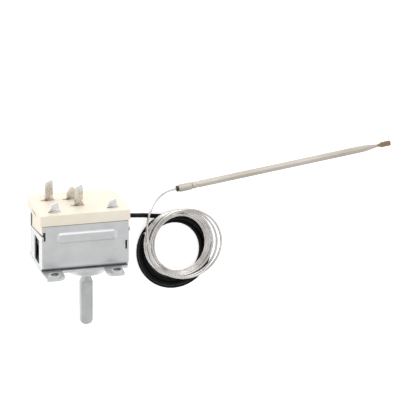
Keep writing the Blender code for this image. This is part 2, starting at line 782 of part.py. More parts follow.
def nib_direction():
    """The stop nib's angle about the shaft in the X Z plane, where the disc's tab points along +Z at rest.
    Turning the shaft up turns the tab from +Z towards +X, so the nib stands just short of it on the other side."""
    return math.pi / 2 + (2 * math.pi - TURN_RANGE) / 2


def tab_half_angle():
    """Half the angle that the stop disc's tab takes: with the nib, it leaves the shaft its range."""
    nib_half = math.asin(NIB_RADIUS / NIB_CIRCLE)
    return (2 * math.pi - TURN_RANGE) / 2 - nib_half - STOP_MARGIN


def spindle():
    """The shaft turned from bar, with a flat along its outer end. Its object stands on the axis that it turns about."""
    profile = [
        (0, SPINDLE_TOP),
        (NECK_RADIUS - SHAFT_CHAMFER, SPINDLE_TOP),
        (NECK_RADIUS, SPINDLE_TOP - SHAFT_CHAMFER),
        (NECK_RADIUS, NECK_LOW),
        (SHAFT_RADIUS, NECK_LOW - SHAFT_TAPER),
        (SHAFT_RADIUS, SHAFT_TIP + TIP_ROUNDING),
        (SHAFT_RADIUS * 0.93, SHAFT_TIP + TIP_ROUNDING * 0.6),
        (SHAFT_RADIUS * 0.75, SHAFT_TIP + TIP_ROUNDING * 0.25),
        (SHAFT_RADIUS * 0.45, SHAFT_TIP),
        (0, SHAFT_TIP),
    ]
    shaft = turned("spindle", profile, (SHAFT_X, 0, SHAFT_Z), ALONG_Y)
    flat_low = SHAFT_ACROSS_FLAT - SHAFT_RADIUS
    run_out = SHAFT_RADIUS - flat_low
    top = NECK_LOW - 1.0 * MM
    outline = [
        (SHAFT_Z + flat_low, SHAFT_TIP - SHEET),
        (SHAFT_Z + 2 * SHAFT_RADIUS, SHAFT_TIP - SHEET),
        (SHAFT_Z + 2 * SHAFT_RADIUS, top + run_out),
        (SHAFT_Z + flat_low, top - run_out),
    ]
    flat = sheet_piece("shaft_flat", outline, 4 * SHAFT_RADIUS, (SHAFT_X, 0, 0), FACING_X)
    cut(shaft, flat)
    return smooth(shaft, STEEL)


def spindle_bush():
    bore = NECK_RADIUS + PLAY
    flange_low = BUSH_TOP - BUSH_FLANGE
    profile = [
        (bore, BUSH_TOP),
        (BUSH_FLANGE_RADIUS, BUSH_TOP),
        (BUSH_FLANGE_RADIUS, flange_low),
        (BUSH_RADIUS, flange_low),
        (BUSH_RADIUS, BOSS_LOW - BUSH_LIP + 0.3 * MM),
        (BUSH_RADIUS - 0.3 * MM, BOSS_LOW - BUSH_LIP),
        (bore, BOSS_LOW - BUSH_LIP),
    ]
    return smooth(turned("spindle_bush", profile, (SHAFT_X, 0, SHAFT_Z), ALONG_Y, closed=True), BRASS)


def stop_disc():
    """A washer pressed on the shaft, whose wide tab meets the nib at each end of the turn."""
    half = tab_half_angle()
    outline = arc_between((0, 0), STOP_REACH, 90 - math.degrees(half), 90 + math.degrees(half), 8)
    outline += arc_between((0, 0), STOP_RADIUS, 90 + math.degrees(half) + 4, 450 - math.degrees(half) - 4, 30)
    disc = sheet_piece(
        "stop_disc", outline, STOP_SHEET, (SHAFT_X, STOP_LOW + STOP_SHEET / 2, SHAFT_Z), FACING_Y
    )
    bore = rod(
        "stop_bore",
        NECK_RADIUS + SEAT,
        (SHAFT_X, STOP_LOW - STOP_SHEET, SHAFT_Z),
        (SHAFT_X, STOP_LOW + 2 * STOP_SHEET, SHAFT_Z),
        ROUND_STEPS,
    )
    cut(disc, bore)
    return smooth(disc, STEEL)


def circlip():
    """An open ring in the shaft's groove that keeps it from pulling out."""
    bore = NECK_RADIUS + SEAT
    gap = 40
    outline = arc_between((0, 0), CLIP_RADIUS, gap, 360 - gap, 24)
    outline += arc_between((0, 0), bore, 360 - gap, gap, 24)
    place = (SHAFT_X, CLIP_LOW + CLIP_SHEET / 2, SHAFT_Z)
    return smooth(sheet_piece("circlip", outline, CLIP_SHEET, place, FACING_Y), STEEL)


def diaphragm_capsule():
    """Two waved steel discs welded at the rim. The liquid that fills them swells and lifts the stud on top."""
    waves = []
    count = CAPSULE_WAVES * 6
    start, end = STUD_RADIUS + 0.5 * MM, CAPSULE_RADIUS - 1.2 * MM
    for i in range(count + 1):
        share = i / count
        wave = CAPSULE_WAVE * math.sin(2 * math.pi * CAPSULE_WAVES * share)
        waves.append((start + (end - start) * share, wave))
    top = CAPSULE_LOW + CAPSULE_RISE - CAPSULE_WAVE
    low = CAPSULE_LOW + CAPSULE_WAVE
    rim = (top + low) / 2
    profile = [(0, CAPSULE_TOP), (STUD_RADIUS, CAPSULE_TOP), (STUD_RADIUS, top)]
    profile += [(radius, top + wave) for radius, wave in waves]
    profile += [(CAPSULE_RADIUS, rim + 0.35 * MM), (CAPSULE_RADIUS, rim - 0.35 * MM)]
    profile += [(radius, low + wave) for radius, wave in reversed(waves)]
    profile += [(0, low)]
    return smooth(turned("diaphragm_capsule", profile, (SHAFT_X, 0, SHAFT_Z), ALONG_Y), STEEL)


def guide_plate():
    """A sheet of mica board under the ceramic well, with the hole that guides the pressure pin."""
    inner = CAN_WIDTH / 2 - SHEET - SKIRT_GAP
    back, front = CAN_BACK + SHEET + SKIRT_GAP, CAN_FRONT - SHEET - SKIRT_GAP
    notch = inner - 2.1 * MM
    corners = [
        (-inner, back, 1.0 * MM),
        (inner, back, 1.0 * MM),
        (inner, EXIT_Z - CHASE_WIDTH / 2, 0),
        (notch, EXIT_Z - CHASE_WIDTH / 2, 0),
        (notch, EXIT_Z + CHASE_WIDTH / 2, 0),
        (inner, EXIT_Z + CHASE_WIDTH / 2, 0),
        (inner, front, 1.0 * MM),
        (-inner, front, 1.0 * MM),
    ]
    low = GUIDE_TOP - GUIDE_SHEET
    plate = sheet_piece("guide_plate", rounded(corners), GUIDE_SHEET, (0, low + GUIDE_SHEET / 2, 0), FACING_Y)
    hole = rod("guide_hole", PIN_RADIUS + PLAY, (SHAFT_X, low - SHEET, SHAFT_Z), (SHAFT_X, GUIDE_TOP + SHEET, SHAFT_Z))
    cut(plate, hole)
    return smooth(plate, MICA)


def pressure_pin():
    low, high = CAPSULE_TOP + SEAT, BLADE_LOW - SEAT
    chamfer = 0.3 * MM
    profile = [
        (0, high),
        (PIN_RADIUS - chamfer, high),
        (PIN_RADIUS, high - chamfer),
        (PIN_RADIUS, low + chamfer),
        (PIN_RADIUS - chamfer, low),
        (0, low),
    ]
    return smooth(turned("pressure_pin", profile, (SHAFT_X, 0, SHAFT_Z), ALONG_Y, steps=SMALL_STEPS), CERAMIC)


def snap_blade():
    """The spring leaf, with the tongue stamped out of its middle that makes it snap. It turns at its held end."""
    start = -2 * MM
    end = CONTACT_X - PIVOT_X + BLADE_OVERRUN
    half = BLADE_WIDTH / 2
    outline = rounded([(start, -half, 0.8 * MM), (end, -half, 2 * MM), (end, half, 2 * MM), (start, half, 0.8 * MM)])
    place = (PIVOT_X, BLADE_LOW + BLADE_SHEET / 2, SHAFT_Z)
    blade = sheet_piece("snap_blade", outline, BLADE_SHEET, place, FACING_Y)
    tongue = BLADE_TONGUE / 2
    slit = 0.6 * MM
    slit_end = SHAFT_X - PIVOT_X - PIN_RADIUS - 1.2 * MM
    for name, low in (("slit_front", tongue), ("slit_back", -tongue - slit)):
        tool = block(
            name,
            (PIVOT_X + 1.5 * MM, BLADE_LOW - SHEET, SHAFT_Z + low),
            (PIVOT_X + slit_end, BLADE_TOP + SHEET, SHAFT_Z + low + slit),
        )
        cut(blade, tool)
    return smooth(blade, COPPER)


def contact_button(name, low):
    """A silver contact with a slightly domed face."""
    high = low + CONTACT_HEIGHT
    edge = 0.2 * MM
    profile = [
        (0, high),
        (CONTACT_RADIUS - edge, high),
        (CONTACT_RADIUS, high - edge),
        (CONTACT_RADIUS, low + edge),
        (CONTACT_RADIUS - edge, low),
        (0, low),
    ]
    return smooth(turned(name, profile, (CONTACT_X, 0, SHAFT_Z), ALONG_Y, steps=SMALL_STEPS), SILVER)


def strap(name, line):
    """A folded strap in the well, from a line of (y, -x) points, as wide in Z as STRAP_WIDTH."""
    half = STRAP_WIDTH / 2
    return smooth(folded(name, line, -half, half, STRAP_SHEET, (0, 0, SHAFT_Z), (0, math.pi / 2, 0)), BRASS)


def contact_strap():
    """Carries the fixed contact, hung from the ceramic beside the well's right wall."""
    contact_low = BLADE_LOW - 2 * SEAT - 2 * CONTACT_HEIGHT - SEAT
    y = contact_low - SEAT - STRAP_SHEET / 2
    x = WELL_HALF - 0.8 * MM
    ceiling = WELL_TOP - SEAT - STRAP_SHEET / 2
    corner = (y + STRAP_BEND, x - STRAP_BEND)
    line = [(y, CONTACT_X - CONTACT_RADIUS - 0.4 * MM)]
    line += [
        (corner[0] - STRAP_BEND * math.cos(a), corner[1] + STRAP_BEND * math.sin(a))
        for a in (math.radians(15 * i) for i in range(7))
    ]
    top = (ceiling - STRAP_BEND, x - STRAP_BEND)
    line += [
        (top[0] + STRAP_BEND * math.sin(a), top[1] + STRAP_BEND * math.cos(a))
        for a in (math.radians(15 * i) for i in range(7))
    ]
    line += [(ceiling, x - STRAP_BEND - 4 * MM)]
    return strap("contact_strap", [(y_at, x_at) for y_at, x_at in line])


def blade_strap():
    """Holds the snap blade's fixed end under its foot, hung from the ceramic."""
    y = BLADE_TOP + SEAT + STRAP_SHEET / 2
    x = PIVOT_X - 2.6 * MM
    ceiling = WELL_TOP - SEAT - STRAP_SHEET / 2
    line = [(y, PIVOT_X + 0.6 * MM)]
    line += [
        (y + STRAP_BEND - STRAP_BEND * math.cos(a), x + STRAP_BEND - STRAP_BEND * math.sin(a))
        for a in (math.radians(15 * i) for i in range(7))
    ]
    line += [
        (ceiling - STRAP_BEND + STRAP_BEND * math.sin(a), x + STRAP_BEND - STRAP_BEND * math.cos(a))
        for a in (math.radians(15 * i) for i in range(7))
    ]
    line += [(ceiling, PIVOT_X + 1.6 * MM)]
    return strap("blade_strap", line)


def terminal(name, xz, top_rows):
    """A flat blade for a push-on connector. Its narrower tail goes through the ceramic, and over the slot the
    blade is twisted, which locks it. Rows of (height, half-width, half-sheet) shape its upper end."""
    tail, half, sheet = TERMINAL_TAIL_WIDTH / 2, TERMINAL_WIDTH / 2, TERMINAL_SHEET / 2
    rows = [(WELL_TOP - TERMINAL_TAIL, tail, sheet, 0)]
    for i in range(TWIST_STEPS + 1):
        share = i / TWIST_STEPS
        rows.append((SLAB_TOP + SEAT + share * (TWIST_HEIGHT - SEAT), tail, sheet, share))
    rows.append((SLAB_TOP + TWIST_HEIGHT + SEAT, half, sheet, 1))
    rows += [(*row, 1) for row in top_rows]

    def build(bm):
        rings = []
        for y, width, depth, share in rows:
            c, s = math.cos(share * TERMINAL_TWIST), math.sin(share * TERMINAL_TWIST)
            corners = ((-width, -depth), (width, -depth), (width, depth), (-width, depth))
            rings.append([(u * c + v * s, y, v * c - u * s) for u, v in corners])
        loft(bm, rings)

    return add(name, mesh_from(name, build), (xz[0], 0, xz[1]))


def blade_terminal(name, xz, hole_height):
    half, sheet = TERMINAL_WIDTH / 2, TERMINAL_SHEET / 2
    top = SLAB_TOP + TERMINAL_HEIGHT
    blade = terminal(
        name,
        xz,
        [
            (top - TERMINAL_CORNER, half, sheet),
            (top - TERMINAL_CORNER * 0.4, half - TERMINAL_CORNER * 0.42, sheet),
            (top, half - TERMINAL_CORNER * 0.7, sheet * 0.5),
        ],
    )
    hole = turned(
        name + "_hole",
        [
            (0, TERMINAL_SHEET),
            (TERMINAL_HOLE_RADIUS, TERMINAL_SHEET),
            (TERMINAL_HOLE_RADIUS, -TERMINAL_SHEET),
            (0, -TERMINAL_SHEET),
        ],
        (xz[0], SLAB_TOP + hole_height, xz[1]),
        (0, TERMINAL_TWIST, 0),
        steps=SMALL_STEPS,
    )
    cut(blade, hole, solver="MANIFOLD")
    return smooth(blade, TIN)


def terminal_rear():
    """A lower blade with a round end."""
    half, sheet = TERMINAL_WIDTH / 2, TERMINAL_SHEET / 2
    middle = SLAB_TOP + REAR_TERMINAL_HEIGHT - half
    arc = [math.radians(angle) for angle in (0, 20, 38, 54, 68, 80)]
    rows = [(middle + half * math.sin(a), half * math.cos(a), sheet) for a in arc]
    return smooth(terminal("terminal_rear", REAR_TERMINAL_XZ, rows), TIN)


def side_rivet():
    """A tubular rivet whose head stands on the right wall."""
    outside = CAN_WIDTH / 2
    head = SLAB_SIDE_OVERHANG
    inside = -SHEET - 0.8 * MM
    bore = 0.35 * MM
    profile = [
        (bore, head),
        (RIVET_RADIUS - 0.3 * MM, head),
        (RIVET_RADIUS, head - 0.3 * MM),
        (RIVET_RADIUS, SEAT),
        (RIVET_SHANK, SEAT),
        (RIVET_SHANK, inside),
        (bore, inside),
    ]
    place = (outside, RIVET_Y, CAN_FRONT - RIVET_FROM_FRONT)
    return smooth(turned("side_rivet", profile, place, ALONG_X, closed=True, steps=SMALL_STEPS), STEEL)


def smooth_route(points, step):
    """Points about a step apart on one smooth curve through the route's own points."""
    ends = [2 * Vector(points[0]) - Vector(points[1])]
    tail = [2 * Vector(points[-1]) - Vector(points[-2])]
    knots = ends + [Vector(point) for point in points] + tail
    route = []
    for before, start, end, after in zip(knots, knots[1:], knots[2:], knots[3:]):
        count = max(1, round((end - start).length / step))
        for i in range(count):
            t = i / count
            route.append(
                0.5
                * (
                    2 * start
                    + (end - before) * t
                    + (2 * before - 5 * start + 4 * end - after) * t * t
                    + (3 * start - before - 3 * end + after) * t * t * t
                )
            )
    return route + [knots[-2]]


def tube(name, route, radius, material):
    """A wire or sleeve along a route, as a curve with a round section."""
    curve = bpy.data.curves.new(name, "CURVE")
    curve.dimensions = "3D"
    curve.bevel_depth = radius
    curve.bevel_resolution = 2
    curve.use_fill_caps = True
    spline = curve.splines.new("POLY")
    spline.points.add(len(route) - 1)
    for point, co in zip(spline.points, route):
        point.co = (*co, 1)
    obj = add(name, curve)
    curve.materials.append(material)
    return obj


def capillary_inside():
    """The capillary's first stretch, from the capsule's rim up the chase in the ceramic to the sleeve."""
    rim = SHAFT_X + CAPSULE_RADIUS + PLAY
    y = CAPSULE_LOW + CAPSULE_RISE / 2
    chase_x = CAN_WIDTH / 2 - SHEET - SKIRT_GAP - 1.1 * MM
    route = [
        (rim, y, SHAFT_Z),
        (rim + 2.2 * MM, y + 0.2 * MM, SHAFT_Z - 0.4 * MM),
        (chase_x - 1.6 * MM, y + 2.2 * MM, (SHAFT_Z + EXIT_Z) / 2),
        (chase_x, GUIDE_TOP - 1.5 * MM, EXIT_Z),
        (chase_x, (GUIDE_TOP + EXIT_Y) / 2, EXIT_Z),
        (chase_x, EXIT_Y - 0.9 * MM, EXIT_Z),
        (chase_x + 0.9 * MM, EXIT_Y, EXIT_Z),
    ]
    return tube("capillary_inside", smooth_route(route, ROUTE_STEP / 3), CAPILLARY_RADIUS, TUBE_STEEL)


def sleeve_lead():
    """The black sleeve from the can down to its coil on the table."""
    start = CAN_WIDTH / 2 - SHEET - SKIRT_GAP + PLAY
    outside = CAN_WIDTH / 2
    route = [
        (start, EXIT_Y, EXIT_Z),
        (outside + 2.0 * MM, EXIT_Y, EXIT_Z),
        (outside + 5.6 * MM, EXIT_Y - 0.8 * MM, EXIT_Z - 1.4 * MM),
        (outside + 9.2 * MM, EXIT_Y - 2.3 * MM, EXIT_Z - 4.7 * MM),
        (outside + 12.6 * MM, EXIT_Y - 3.6 * MM, EXIT_Z - 7.4 * MM),
        (outside + 15.2 * MM, EXIT_Y - 4.3 * MM, EXIT_Z - 8.2 * MM),
    ]
    return tube("sleeve_lead", smooth_route(route, ROUTE_STEP), SLEEVE_RADIUS, SLEEVE_BLACK)


def coil_ring(name, centre, inner, outer, low, height, stretch, material):
    """The outer shape of a coil that lies flat, a little longer along Y than along X."""
    high = low + height
    edge = COIL_EDGE
    profile = [
        (inner + edge, high),
        (outer - edge, high),
        (outer, high - edge),
        (outer, low + edge),
        (outer - edge, low),
        (inner + edge, low),
        (inner, low + edge),
        (inner, high - edge),
    ]
    ring = turned(name, profile, (*centre, 0), UPRIGHT, closed=True)
    ring.scale = (1, stretch, 1)
    return smooth(ring, material)


def capillary_tail():
    """The bare capillary from its coil, over the sleeve, to the probe's mouth."""
    start = PROBE_START
    over = SLEEVE_COIL_HEIGHT + SEAT + CAPILLARY_COIL_HEIGHT + SEAT + CAPILLARY_RADIUS
    route = [
        (start[0] - 13.4 * MM, start[1] - 23.7 * MM, over),
        (start[0] - 14.1 * MM, start[1] - 19.7 * MM, over),
        (start[0] - 14.9 * MM, start[1] - 16.1 * MM, over - 0.3 * MM),
        (start[0] - 14.4 * MM, start[1] - 11.8 * MM, over - 1.5 * MM),
        (start[0] - 13.1 * MM, start[1] - 7.9 * MM, over - 2.9 * MM),
        (start[0] - 10.7 * MM, start[1] - 4.2 * MM, over - 4.7 * MM),
        (start[0] - 7.6 * MM, start[1] - 1.8 * MM, over - 6.3 * MM),
        (start[0] - 4.0 * MM, start[1] - 0.6 * MM, over - 7.7 * MM),
        (start[0] - PLAY, start[1], COLLAR_TUBE_RADIUS),
    ]
    return tube("capillary_tail", smooth_route(route, ROUTE_STEP), CAPILLARY_RADIUS, TUBE_STEEL)


def along_probe(distance):
    """A place on the probe's axis, at a distance from its mouth."""
    x, y = PROBE_START
    return (x + distance * math.cos(PROBE_TURN), y + distance * math.sin(PROBE_TURN), COLLAR_TUBE_RADIUS)


def probe_ring(name, start, length, radius, edge, material):
    """A turned piece on the probe's axis."""
    profile = [
        (0, length),
        (radius - edge, length),
        (radius, length - edge),
        (radius, edge),
        (radius - edge, 0),
        (0, 0),
    ]
    return smooth(turned(name, profile, along_probe(start), (0, math.pi / 2, PROBE_TURN), steps=SMALL_STEPS), material)


def probe_bulb():
    """The thin tube that senses the heat. It is round up to its neck, and its end is pressed flat and sealed."""
    round_end = BULB_LENGTH
    tip_start = round_end + BULB_NECK
    sections = [
        (0, PROBE_RADIUS * 0.86, PROBE_RADIUS * 0.86, 1),
        (0.5 * MM, PROBE_RADIUS, PROBE_RADIUS, 1),
        (1.6 * MM, PROBE_RADIUS, PROBE_RADIUS, 1),
        (2.3 * MM, PROBE_RADIUS * 0.8, PROBE_RADIUS * 0.8, 1),
        (3.0 * MM, PROBE_RADIUS, PROBE_RADIUS, 1),
        (round_end, PROBE_RADIUS, PROBE_RADIUS, 1),
        (round_end + BULB_NECK * 0.45, PROBE_RADIUS * 0.9, PROBE_RADIUS * 0.8, 0.9),
        (tip_start, PROBE_RADIUS * 0.7, PROBE_RADIUS * 0.55, 0.8),
        (tip_start + 0.8 * MM, TIP_HALF_WIDTH, TIP_HALF_SHEET, 0.45),
        (tip_start + TIP_LENGTH - 0.5 * MM, TIP_HALF_WIDTH, TIP_HALF_SHEET, 0.45),
        (tip_start + TIP_LENGTH, TIP_HALF_WIDTH * 0.85, TIP_HALF_SHEET * 0.8, 0.45),
    ]

    def build(bm):
        rings = []
        for x, half_width, half_height, power in sections:
            ring = []
            for i in range(SMALL_STEPS):
                a = 2 * math.pi * i / SMALL_STEPS
                c, s = math.cos(a), math.sin(a)
                y = half_width * math.copysign(abs(c) ** power, c)
                z = half_height * math.copysign(abs(s) ** power, s)
                ring.append((x, y, z))
            rings.append(ring)
        loft(bm, rings)

    start = SEAL_LENGTH + COLLAR_TUBE_LENGTH + 2 * SEAT
    obj = add("probe_bulb", mesh_from("probe_bulb", build), along_probe(start), (0, 0, PROBE_TURN))
    return smooth(obj, TUBE_STEEL)


clear_scene()
PARTS = new_collection("oven_thermostat")
CUTTERS = new_collection("cutters")
CARRIER = bpy.data.objects.new("thermostat", None)
PARTS.objects.link(CARRIER)
CARRIER.location = (0, -CENTRE_Y, 0)

ZINC = finish("galvanised_steel", (0.62, 0.63, 0.64), 0.42, 0.85)
STEEL = finish("bright_steel", (0.55, 0.56, 0.56), 0.35, 0.9)
CERAMIC = finish("cream_ceramic", (0.86, 0.80, 0.68), 0.55, 0.0)
BRASS = finish("brass", (0.70, 0.52, 0.25), 0.35, 1.0)
COPPER = finish("spring_copper", (0.72, 0.42, 0.25), 0.35, 1.0)
SILVER = finish("contact_silver", (0.85, 0.85, 0.83), 0.3, 1.0)
MICA = finish("mica_board", (0.60, 0.52, 0.40), 0.7, 0.0)
TIN = finish("tinned_brass", (0.66, 0.60, 0.50), 0.38, 0.9)
TUBE_STEEL = finish("tube_steel", (0.62, 0.59, 0.54), 0.35, 0.9)
SLEEVE_BLACK = finish("black_sleeve", (0.012, 0.012, 0.012), 0.5, 0.0)
SEAL_RED = finish("dark_seal", (0.07, 0.02, 0.02), 0.6, 0.0)

steel_housing()
ceramic_base()
mounting_plate()
spindle()
spindle_bush()
stop_disc()
circlip()
diaphragm_capsule()
guide_plate()
pressure_pin()
snap_blade()
contact_button("moving_contact", BLADE_LOW - SEAT - CONTACT_HEIGHT)
contact_button("fixed_contact", BLADE_LOW - 2 * SEAT - 2 * CONTACT_HEIGHT - SEAT)
contact_strap()
blade_strap()
blade_terminal("terminal_left", LEFT_TERMINAL_XZ, 4.9 * MM)
blade_terminal("terminal_middle", MIDDLE_TERMINAL_XZ, 5.0 * MM)
terminal_rear()
side_rivet()
capillary_inside()
sleeve_lead()
coil_ring(
    "sleeve_coil",
    SLEEVE_COIL_CENTRE,
    SLEEVE_COIL_INNER,
    SLEEVE_COIL_OUTER,
    0,
    SLEEVE_COIL_HEIGHT,
    SLEEVE_COIL_STRETCH,
    SLEEVE_BLACK,
)
coil_ring(
    "capillary_coil",
    CAPILLARY_COIL_CENTRE,
    CAPILLARY_COIL_INNER,
    CAPILLARY_COIL_OUTER,
    SLEEVE_COIL_HEIGHT + SEAT,
    CAPILLARY_COIL_HEIGHT,
    CAPILLARY_COIL_STRETCH,
    TUBE_STEEL,
)
capillary_tail()
probe_ring("probe_seal", 0, SEAL_LENGTH, SEAL_RADIUS, 0.2 * MM, SEAL_RED)
probe_ring("probe_collar", SEAL_LENGTH + SEAT, COLLAR_TUBE_LENGTH, COLLAR_TUBE_RADIUS, 0.25 * MM, TUBE_STEEL)
probe_bulb()
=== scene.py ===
"""An oven thermostat that lies on a pale table: its finishes, its two wound tubes, and the fine detail that
the solids leave out. Everything is in metres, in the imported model's own frame."""

import json
import math

import bmesh
import bpy
from mathutils import Matrix, Vector


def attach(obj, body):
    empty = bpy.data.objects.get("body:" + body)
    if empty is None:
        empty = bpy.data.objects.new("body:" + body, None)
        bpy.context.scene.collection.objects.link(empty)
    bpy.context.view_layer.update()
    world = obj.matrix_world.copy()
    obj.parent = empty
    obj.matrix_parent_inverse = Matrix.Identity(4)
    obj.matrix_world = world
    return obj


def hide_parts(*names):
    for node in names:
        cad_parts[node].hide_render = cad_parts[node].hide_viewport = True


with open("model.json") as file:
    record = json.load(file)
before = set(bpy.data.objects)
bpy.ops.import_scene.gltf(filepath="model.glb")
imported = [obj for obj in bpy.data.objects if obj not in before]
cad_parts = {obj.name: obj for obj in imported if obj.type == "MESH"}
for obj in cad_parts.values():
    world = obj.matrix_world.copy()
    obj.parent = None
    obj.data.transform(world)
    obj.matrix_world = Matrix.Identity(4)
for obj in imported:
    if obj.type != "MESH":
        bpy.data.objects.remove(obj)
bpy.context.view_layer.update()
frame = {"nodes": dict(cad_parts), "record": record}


# The camera looks down on the ribbed face from over the terminals, a little from the left. It is far away,
# with a very long lens, as in the photograph, where parallel edges stay parallel.
MM = 0.001
CAMERA_RIGHT = Vector((0.9740, 0.0, 0.2267))
CAMERA_UP = Vector((0.0809, 0.9342, -0.3475))
CAMERA_TARGET = Vector((60.0, 13.3, 10.0)) * MM
PICTURE_WIDTH = 185.0 * MM
LENS = 1200.0
SENSOR = 36.0
NEAREST_SEEN = 0.1
FARTHEST_SEEN = 100.0


def object_from(name, data):
    obj = bpy.data.objects.new(name, data)
    bpy.context.scene.collection.objects.link(obj)
    return obj


camera_data = bpy.data.cameras.new("camera")
camera_data.type = "PERSP"
camera_data.lens = LENS
camera_data.sensor_width = SENSOR
camera_data.clip_start = NEAREST_SEEN
camera_data.clip_end = FARTHEST_SEEN
camera = object_from("camera", camera_data)
camera_back = CAMERA_RIGHT.cross(CAMERA_UP).normalized()
camera_turn = Matrix((CAMERA_RIGHT, CAMERA_UP, camera_back)).transposed().to_4x4()
camera_place = CAMERA_TARGET + camera_back * (PICTURE_WIDTH * LENS / SENSOR)
camera.matrix_world = Matrix.Translation(camera_place) @ camera_turn
bpy.context.scene.camera = camera


# The can is one blank of galvanised steel 0.8 mm thick, pressed with a rib, folded into a box and hooked
# together by two tabs in slots. Its two lugs go up through the ceramic and are twisted over it, and their
# tops are painted lighter, a painted highlight. Inside, the zinc is painted nearly black, as painted shade.
ZINC_DARK = (0.585, 0.59, 0.595)
ZINC_LIGHT = (0.645, 0.65, 0.655)
ZINC_PAINTED_HIGHLIGHT = (0.74, 0.74, 0.745)
ZINC_PAINTED_SHADE = (0.035, 0.034, 0.032)
SHEET_EDGE = 0.12 * MM
# Ranges of x, y and z in mm
CAN_INSIDE = ((-18.9, 18.9), (-1.9, 17.9), (3.3, 26.15))
LUG_TOPS = ((-30.0, 30.0), (23.5, 40.0), (-10.0, 40.0))
# How rough a noise is, and its usual lowest and highest values
NOISE_ROUGHNESS = 0.55
NOISE_LOW = 0.3
NOISE_HIGH = 0.7
# The sockets of a Mix node that mixes colours
MIX_FACTOR = 0
MIX_FIRST = 6
MIX_SECOND = 7
MIX_RESULT = 2
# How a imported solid's loose triangles become whole faces with broken edges
SAME_POINT = 0.001 * MM
FLAT_ANGLE = math.radians(0.4)
SHARP_ANGLE = math.radians(38)
EDGE_STEPS = 2
LARGEST_WEIGHT = 100


def shader_of(material):
    return material.node_tree.nodes["Principled BSDF"]


def new_material(name, colour, **sockets):
    """A material of this colour. The shader's other sockets are named with _ for a space."""
    material = bpy.data.materials.new(name)
    material.use_nodes = True
    shader_of(material).inputs["Base Color"].default_value = (*colour, 1)
    for socket, value in sockets.items():
        shader_of(material).inputs[socket.replace("_", " ")].default_value = value
    return material


def link(material, out_socket, in_socket):
    material.node_tree.links.new(out_socket, in_socket)


def feed(material, name, source):
    """Links a source to the shader's socket of this name."""
    link(material, source, shader_of(material).inputs[name])


def place_on_piece(material):
    return material.node_tree.nodes.new("ShaderNodeTexCoord").outputs["Object"]


def place_axes(material):
    """The place on the piece, as sockets X, Y and Z."""
    axes = material.node_tree.nodes.new("ShaderNodeSeparateXYZ")
    link(material, place_on_piece(material), axes.inputs["Vector"])
    return axes.outputs


def grain(material, size, stretch=(1, 1, 1), detail=3):
    """Noise whose features are about a size across, drawn out along the axes that have a small stretch."""
    nodes = material.node_tree.nodes
    mapping = nodes.new("ShaderNodeMapping")
    mapping.inputs["Scale"].default_value = stretch
    node = nodes.new("ShaderNodeTexNoise")
    node.inputs["Scale"].default_value = 1 / size
    node.inputs["Detail"].default_value = detail
    node.inputs["Roughness"].default_value = NOISE_ROUGHNESS
    link(material, place_on_piece(material), mapping.inputs["Vector"])
    link(material, mapping.outputs["Vector"], node.inputs["Vector"])
    return node.outputs["Fac"]


def colours(material, factor, *stops):
    """A colour ramp, from (position, colour) stops."""
    node = material.node_tree.nodes.new("ShaderNodeValToRGB")
    elements = node.color_ramp.elements
    while len(elements) < len(stops):
        elements.new(0.5)
    for element, (position, colour) in zip(elements, stops):
        element.position = position
        element.color = (*colour, 1)
    link(material, factor, node.inputs["Fac"])
    return node.outputs["Color"]


def spread(material, factor, low, high):
    """A noise turned into values from low to high."""
    node = material.node_tree.nodes.new("ShaderNodeMapRange")
    node.inputs["From Min"].default_value = NOISE_LOW
    node.inputs["From Max"].default_value = NOISE_HIGH
    node.inputs["To Min"].default_value = low
    node.inputs["To Max"].default_value = high
    link(material, factor, node.inputs["Value"])
    return node.outputs["Result"]


def within(material, ranges):
    """One inside a box of x, y and z ranges in mm on the piece, and nought outside it."""
    nodes = material.node_tree.nodes
    axes = place_axes(material)
    found = None
    for axis, (low, high) in zip("XYZ", ranges):
        test = nodes.new("ShaderNodeMath")
        test.operation = "COMPARE"
        test.inputs[1].default_value = (low + high) / 2 * MM
        test.inputs[2].default_value = (high - low) / 2 * MM
        link(material, axes[axis], test.inputs[0])
        if found:
            both = nodes.new("ShaderNodeMath")
            both.operation = "MULTIPLY"
            link(material, found, both.inputs[0])
            link(material, test.outputs["Value"], both.inputs[1])
            test = both
        found = test.outputs["Value"]
    return found


def tinted(material, factor, colour, other):
    """The colour where the factor is nought, and the other one, a colour or a socket, where it is one."""
    node = material.node_tree.nodes.new("ShaderNodeMix")
    node.data_type = "RGBA"
    link(material, factor, node.inputs[MIX_FACTOR])
    link(material, colour, node.inputs[MIX_FIRST])
    if isinstance(other, tuple):
        node.inputs[MIX_SECOND].default_value = (*other, 1)
    else:
        link(material, other, node.inputs[MIX_SECOND])
    return node.outputs[MIX_RESULT]


def bump(material, height, depth):
    """Relief of a real depth."""
    node = material.node_tree.nodes.new("ShaderNodeBump")
    node.inputs["Strength"].default_value = 1.0
    node.inputs["Distance"].default_value = depth
    link(material, height, node.inputs["Height"])
    feed(material, "Normal", node.outputs["Normal"])


def plain_mesh(obj):
    """Makes what the object's modifiers build its own plain mesh."""
    bpy.context.view_layer.update()
    evaluated = obj.evaluated_get(bpy.context.evaluated_depsgraph_get())
    mesh = bpy.data.meshes.new_from_object(evaluated)
    obj.modifiers.clear()
    obj.data = mesh
    return obj


def paint(obj, material):
    obj.data.materials.clear()
    obj.data.materials.append(material)


def belong(obj, slot, *nodes):
    """The piece stands for these CAD nodes, and moves with their body."""
    bodies = frame["record"]["behaviour"]["bodies"]
    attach(obj, next(body for body, members in bodies.items() if nodes[0] in members))
    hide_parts(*nodes)


